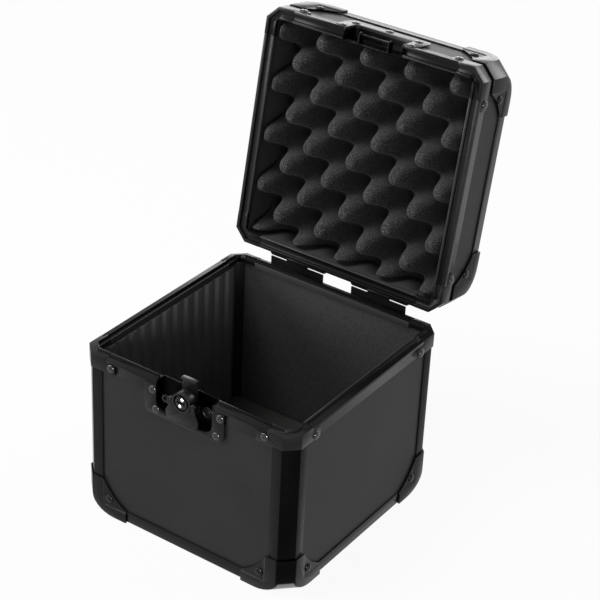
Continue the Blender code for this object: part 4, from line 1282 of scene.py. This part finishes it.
@dataclass
class EggCrateFoam:
    """The lid's foam: rows of rounded fingers, each row half a pitch on from the last."""

    bench: Bench
    plan: CasePlan
    back: float = 0.0080
    bump: float = 0.0345
    pitch: float = 0.0434
    row: float = 0.0227
    start_across: float = -0.0043
    start_back: float = 0.0060
    slant: float = 0.029
    taper: float = 1.45
    edge_round: float = 0.0035
    cells: int = 290
    sag: float = 0.0010
    long_wave: tuple[float, float] = (41.0, 23.0)
    short_wave: tuple[float, float] = (-19.0, 57.0)
    top_skin: float = 0.0074
    skirt: float = 0.05
    notch_across: float = 0.0580
    notch_back: float = 0.0112
    notch_up: float = 0.0200

    @property
    def seat(self) -> float:
        """Height of the lid's inner face, which the pad is glued to."""
        return self.plan.lid_top - self.top_skin

    def height(self, across: float, back: float, to_edge: float) -> float:
        """Thickness of the pad at a place in the closed case's frame.

        Args:
            across: Place along the hinge.
            back: Place towards the hinge.
            to_edge: Distance to the pad's nearest edge.

        Returns:
            The thickness.
        """
        along = across - self.start_across - self.slant * back
        rows = math.cos(math.pi * (back - self.start_back) / self.row)
        wave = math.cos(2 * math.pi * along / self.pitch) * rows
        finger = ((1 + math.sin(wave * math.pi / 2)) / 2) ** self.taper
        short = max(0.0, 1 - to_edge / self.edge_round)
        drift = sum(math.sin(across * one + back * two) for one, two in (self.long_wave, self.short_wave)) / 2
        rise = self.bump * finger + self.sag * 0.5 * drift * (1 + wave) / 2
        return self.back + rise * math.sqrt(1 - short * short)

    def reach(self) -> tuple[float, float]:
        """Heights of the tips and of the valleys in the closed case."""
        return self.seat - self.back - self.bump, self.seat - self.back

    def build(self, finish: bpy.types.Material) -> None:
        """Model the pad face down in the closed lid, notch it for the keeper and open it with the lid.

        Args:
            finish: The pad's material.
        """
        low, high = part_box("foam_pad")
        half = (high.x - low.x) / 2
        bench = self.bench
        bench.clear()
        bpy.ops.mesh.primitive_grid_add(x_subdivisions=self.cells, y_subdivisions=self.cells, size=1.0)
        made = bpy.context.object
        made.name = "egg_crate_foam"
        seat = self.seat
        for vertex in made.data.vertices:
            across, back = vertex.co.x * 2 * half, vertex.co.y * 2 * half
            to_edge = max(0.0, half - max(abs(across), abs(back)))
            vertex.co = (across, back, seat - self.height(across, back, to_edge))
        bpy.ops.object.mode_set(mode="EDIT")
        bpy.ops.mesh.select_all(action="SELECT")
        bpy.ops.mesh.flip_normals()
        bpy.ops.mesh.select_mode(type="EDGE")
        bpy.ops.mesh.select_all(action="DESELECT")
        bpy.ops.mesh.select_non_manifold()
        bpy.ops.mesh.extrude_edges_move(TRANSFORM_OT_translate={"value": (0.0, 0.0, self.skirt)})
        bpy.ops.object.mode_set(mode="OBJECT")
        for vertex in made.data.vertices:
            vertex.co.z = min(vertex.co.z, seat)
        bpy.ops.object.mode_set(mode="EDIT")
        bpy.ops.mesh.select_all(action="DESELECT")
        bpy.ops.mesh.select_non_manifold()
        bpy.ops.mesh.edge_face_add()
        bpy.ops.mesh.select_all(action="SELECT")
        bpy.ops.mesh.normals_make_consistent(inside=False)
        bpy.ops.object.mode_set(mode="OBJECT")
        self.notch(made)
        bench.seat(made, self.plan.lid())
        bench.smooth(made, below=50.0)
        bench.fit(made, finish, "lid", "foam", "foam_pad")

    def notch(self, pad: bpy.types.Object) -> None:
        """Cut the pad away round the keeper dish.

        Args:
            pad: The pad, still in the closed lid.
        """
        bench = self.bench
        bench.clear()
        bpy.ops.mesh.primitive_cube_add(size=1.0)
        cutter = bpy.context.object
        middle = Matrix.Translation((0.0, (self.notch_back - self.plan.depth) / 2,
                                     self.plan.meeting + self.notch_up / 2))
        bench.seat(cutter, middle @ Matrix.Diagonal((self.notch_across, self.notch_back, self.notch_up, 1.0)))
        bench.apply(pad, "BOOLEAN", operation="DIFFERENCE", solver="EXACT", object=cutter)
        bpy.data.objects.remove(cutter)


@dataclass
class Latch:
    """The butterfly latch: dish, rotor, wing, lock, slide and hook."""

    bench: Bench
    plan: CasePlan
    boss_across: float = 0.0155
    boss_drop: float = 0.0175
    boss_radius: float = 0.0052
    boss_steps: Steps = ((0.0003, 0.0052), (0.0004, 0.0048), (0.0, 0.0040), (-0.0004, 0.0036), (0.0, 0.0024),
                         (0.0003, 0.0021), (0.0, 0.0008))
    pocket_depth: float = 0.0096
    rotor_drop: float = 0.0075
    plug_proud: float = 0.0045
    # Two polished domes in the plug's face, put there as painted highlights
    glint_dome_radius: float = 0.00160
    glint_dome_steps: Steps = ((0.0003, 0.00160), (0.0003, 0.00140), (0.0002, 0.00105), (0.0001, 0.00050))
    glint_dome_from_centre: float = 0.0034
    glint_dome_turn: float = math.radians(-18)
    pressed_edge: float = 0.0004
    turned_edge: float = 0.0003
    plug_edge: float = 0.0002

    def bosses(self) -> bpy.types.Object:
        """Two rings pressed up in the floor of the dish.

        Returns:
            The joined rings.
        """
        ring = self.bench.turned("ring", self.boss_radius, self.boss_steps)
        places = [self.plan.closed() @ self.plan.face("front", sign * self.boss_across,
                                                      self.plan.meeting - self.boss_drop, -self.pocket_depth)
                  for sign in (-1, 1)]
        return self.bench.copies(ring, places, "dish_bosses")

    def glint_domes(self) -> bpy.types.Object:
        """Two polished steel domes in the face of the lock's plug, put there as painted highlights for its
        two bright spots.

        Returns:
            The joined domes.
        """
        pin = self.bench.turned("pin", self.glint_dome_radius, self.glint_dome_steps, sides=20)
        centre = self.plan.face("front", 0.0, self.plan.meeting - self.rotor_drop, self.plug_proud)
        places = [self.plan.closed() @ centre @ Matrix.Rotation(self.glint_dome_turn, 4, "Z")
                  @ Matrix.Translation((0.0, sign * self.glint_dome_from_centre, 0.0)) for sign in (-1, 1)]
        return self.bench.copies(pin, places, "lock_glint_domes")

    def build(self, coat: bpy.types.Material, steel: bpy.types.Material) -> None:
        """Dress each of the latch's parts, and add the dish's bosses and the lock's painted highlight domes.

        Args:
            coat: The wing's finish.
            steel: Finish of the turned and sliding parts.
        """
        bench = self.bench
        backs = self.plan.backs()
        # Painted shade: the dish's hollow is painted near black and made metallic
        shaded_pocket = {half: PowderCoat(PaintedShadeZone.POCKET, f"{half}_dish_coat").build(back)
                  for half, back in backs.items()}
        dull = PowderCoat(name="boss_coat", roughness=0.45).build(backs["base"])
        bench.fit(self.bosses(), dull, "base", "black_steel")
        # The lock's painted highlights: two polished steel domes
        bench.fit(self.glint_domes(), PolishedSteel().build(), "lock_plug", "black_steel")
        for node, finish, width in (("latch_dish", shaded_pocket["base"], self.pressed_edge),
                                    ("keeper_dish", shaded_pocket["lid"], self.pressed_edge),
                                    ("latch_rotor", steel, self.turned_edge),
                                    ("lock_plug", steel, self.plug_edge),
                                    ("latch_wing", coat, self.pressed_edge),
                                    ("latch_slide", steel, self.turned_edge),
                                    ("latch_hook", steel, self.turned_edge)):
            bench.refinished(node, finish, width)


@dataclass
class Handle:
    """The carrying handle on the lid's top: a wire bail with a ribbed grip, hanging from its plate."""

    bench: Bench
    axis: Vector = field(default_factory=lambda: Vector((0.0, 0.138618, 0.262406)))
    wire: float = 0.0020
    reach: float = 0.0605
    inner: float = 0.0522
    bend: float = 0.0070
    drop: float = 0.0260
    foot_steps: int = 6
    elbow_steps: int = 8
    half_grip: float = 0.0410
    grip_radius: float = 0.0072
    collar: float = 0.0060
    chamfer: float = 0.0002
    rounding: float = 0.0008
    ribs: int = 12
    rib_depth: float = 0.0007
    rib_shares: tuple[float, ...] = (0.15, 0.25, 0.15, 0.45)

    @staticmethod
    def quarter(steps: int) -> list[float]:
        """Angles of a quarter turn in even steps, in radians."""
        return [step * math.pi / (2 * steps) for step in range(steps + 1)]

    def bail(self) -> bpy.types.Object:
        """Bend the wire through the plate's two ears and round the grip.

        Returns:
            The bail.
        """
        foot = [(self.inner + self.wire * (1 - math.sin(turn)), self.wire * (1 - math.cos(turn)))
                for turn in self.quarter(self.foot_steps)]
        elbow = [(self.inner - self.bend * (1 - math.cos(turn)), self.drop - self.bend * (1 - math.sin(turn)))
                 for turn in self.quarter(self.elbow_steps)]
        right = [(self.reach, 0.0), *foot, *elbow]
        route = [*right, *((-across, down) for across, down in reversed(right))]
        curve = bpy.data.curves.new("bail", "CURVE")
        curve.dimensions, curve.bevel_depth, curve.bevel_resolution = "3D", self.wire, 3
        curve.use_fill_caps = True
        spline = curve.splines.new("POLY")
        spline.points.add(len(route) - 1)
        for point, (across, down) in zip(spline.points, route):
            point.co = (across, 0.0, -down, 1.0)
        self.bench.pick(linked("handle_bail", curve))
        bpy.ops.object.convert(target="MESH")
        made = bpy.context.object
        self.bench.closed_up()
        self.bench.seat(made, Matrix.Translation(self.axis))
        return self.bench.smooth(made, below=50.0)

    def grip(self) -> bpy.types.Object:
        """Turn the grip, with shallow ribs between two plain collars.

        Returns:
            The grip.
        """
        pitch = (2 * self.half_grip - 2 * self.collar) / self.ribs
        low, high = self.grip_radius - self.rib_depth, self.grip_radius
        end, plain = self.rounding - self.chamfer, self.collar - self.rounding
        steps = [(end, high - self.chamfer), (self.chamfer, high), (plain, high)]
        for _ in range(self.ribs):
            steps += [(pitch * share, wide) for share, wide in zip(self.rib_shares, (low, low, high, high))]
        steps += [(plain, high), (self.chamfer, high - self.chamfer), (end, high - self.rounding),
                  (0.0, self.wire)]
        made = self.bench.turned("handle_grip_ribbed", high - self.rounding, steps, sides=36)
        lying = Matrix.Rotation(math.pi / 2, 4, "Y") @ Matrix.Translation((0.0, 0.0, -self.half_grip))
        return self.bench.seat(made, Matrix.Translation(self.axis - Vector((0.0, 0.0, self.drop))) @ lying)

    def build(self, rubber: bpy.types.Material, steel: bpy.types.Material) -> None:
        """Make the bail and the grip."""
        self.bench.fit(self.grip(), rubber, "handle", "rubber", "handle_grip")
        self.bench.fit(self.bail(), steel, "handle", "black_steel", "handle_grip")


@dataclass
class Woodwork:
    """Panels and walls, which keep their CAD shapes, and the ribbed liners."""

    bench: Bench
    plan: CasePlan
    rib_edge: float = 0.0005

    def __post_init__(self) -> None:
        """Make the panels' finishes."""
        self.laminate = {half: PebbledLaminate().build(back, half)
                         for half, back in self.plan.backs().items()}
        self.plywood = PaintedPlywood().build()
        self.liner = MattLiner().build()

    def build(self) -> None:
        """Dress the panels, and round the liners' ribs."""
        bench = self.bench
        for node, slot in bench.slots.items():
            if slot in ("laminate", "plywood"):
                finish = self.plywood if slot == "plywood" else self.laminate[bench.homes[node]]
                bench.dress(bench.frame["nodes"][node], finish)
                log.info("%s: %s", node, slot)
        for hand in HANDS:
            bench.refinished(f"{hand}_rib_liner", self.liner, self.rib_edge, f"{hand}_liner_board")


@dataclass
class Studio:
    """Floor, lamps, world and camera."""

    eye: Vector = field(default_factory=lambda: Vector((0.754699, -1.119317, 0.972545)))
    right: Vector = field(default_factory=lambda: Vector((0.81655, 0.57577, 0.04173)))
    up: Vector = field(default_factory=lambda: Vector((-0.32324, 0.39613, 0.85941)))
    lens: float = 112.94
    sensor: float = 36.0
    floor_size: float = 14.0
    surround: float = 0.31

    def camera(self) -> None:
        """Place the camera at the photograph's angle."""
        data = bpy.data.cameras.new("photo_camera")
        data.lens, data.sensor_width, data.sensor_fit = self.lens, self.sensor, "HORIZONTAL"
        data.clip_start, data.clip_end = 0.01, 50.0
        made = linked("photo_camera", data)
        back = self.right.cross(self.up).normalized()
        turn = Matrix((self.right, self.up, back)).transposed().to_4x4()
        made.matrix_world = Matrix.Translation(self.eye) @ turn
        bpy.context.scene.camera = made

    def lamp(self, name: str, place: Sequence[float], aim: Sequence[float], size: tuple[float, float],
             power: float, glint: bool = False) -> None:
        """Hang one soft rectangular lamp.

        Args:
            name: The lamp's name.
            place: Where it hangs.
            aim: What it points at.
            size: Width and height of its face.
            power: Power in watts.
            glint: Whether it shows in reflections alone.
        """
        data = bpy.data.lights.new(name, "AREA")
        data.shape, data.size, data.size_y, data.energy = "RECTANGLE", size[0], size[1], power
        made = linked(name, data)
        made.location = place
        made.rotation_euler = (Vector(aim) - Vector(place)).to_track_quat("-Z", "Y").to_euler()
        made.visible_diffuse = not glint

    def world(self) -> None:
        """A soft grey surround that the lens and reflections see as white."""
        world = bpy.data.worlds.new("studio_surround")
        bpy.context.scene.world = world
        world.use_nodes = True
        wiring = Wiring(world.node_tree)
        wiring.tree.nodes.clear()
        soft = wiring.node("ShaderNodeBackground", {}, {"Color": WHITE, "Strength": self.surround})
        bright = wiring.node("ShaderNodeBackground", {}, {"Color": WHITE, "Strength": 1.0})
        mix = wiring.node("ShaderNodeMixShader", {},
                          {0: wiring.seen(), 1: soft.outputs[0], 2: bright.outputs[0]})
        wiring.node("ShaderNodeOutputWorld", {}, {"Surface": mix.outputs[0]})

    def floor(self, bench: Bench) -> None:
        """Lay the floor.

        Args:
            bench: Where it is modelled.
        """
        bench.clear()
        bpy.ops.mesh.primitive_plane_add(size=self.floor_size)
        made = bpy.context.object
        made.name = "studio_floor"
        bench.dress(made, PaleFloor().build())

    def build(self, bench: Bench) -> None:
        """Set up the whole studio.

        Args:
            bench: Where the floor is modelled.
        """
        self.camera()
        self.world()
        self.floor(bench)
        self.lamp("overhead_softbox", (-0.6, -0.5, 1.8), (0.0, 0.0, 0.15), (0.8, 0.8), 24.0)
        self.lamp("left_softbox", (-1.05, -0.85, 0.62), (0.0, 0.0, 0.2), (0.5, 0.6), 11.5)
        self.lamp("back_softbox", (0.87, 1.75, 1.02), (0.1, 0.0, 0.35), (0.8, 0.8), 20.0)
        self.lamp("far_softbox", (-0.95, 1.80, 0.62), (0.0, 0.1, 0.36), (1.1, 0.8), 8.0)
        self.lamp("rivet_glint", (0.73, -1.07, 0.385), (0.0, -0.15, 0.14), (0.30, 0.30), 34.0, glint=True)
        bpy.context.scene.view_settings.view_transform = "Standard"


def main() -> None:
    """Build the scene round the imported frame."""
    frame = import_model()
    bench, plan = Bench(frame), CasePlan()
    Studio().build(bench)
    metalwork = Metalwork(bench, plan)
    metalwork.build()
    Woodwork(bench, plan).build()
    Rivets(bench, plan).build(LacqueredRivet().build(), metalwork.coat)
    steel = DarkSteel().build()
    Latch(bench, plan).build(metalwork.coat, steel)
    Handle(bench).build(MouldedRubber().build(), metalwork.coat)
    foam = EggCrateFoam(bench, plan)
    tip, valley = foam.reach()
    foam.build(CellFoam(tip, valley).build(plan.backs()["lid"]))


if __name__ == "__main__":
    main()
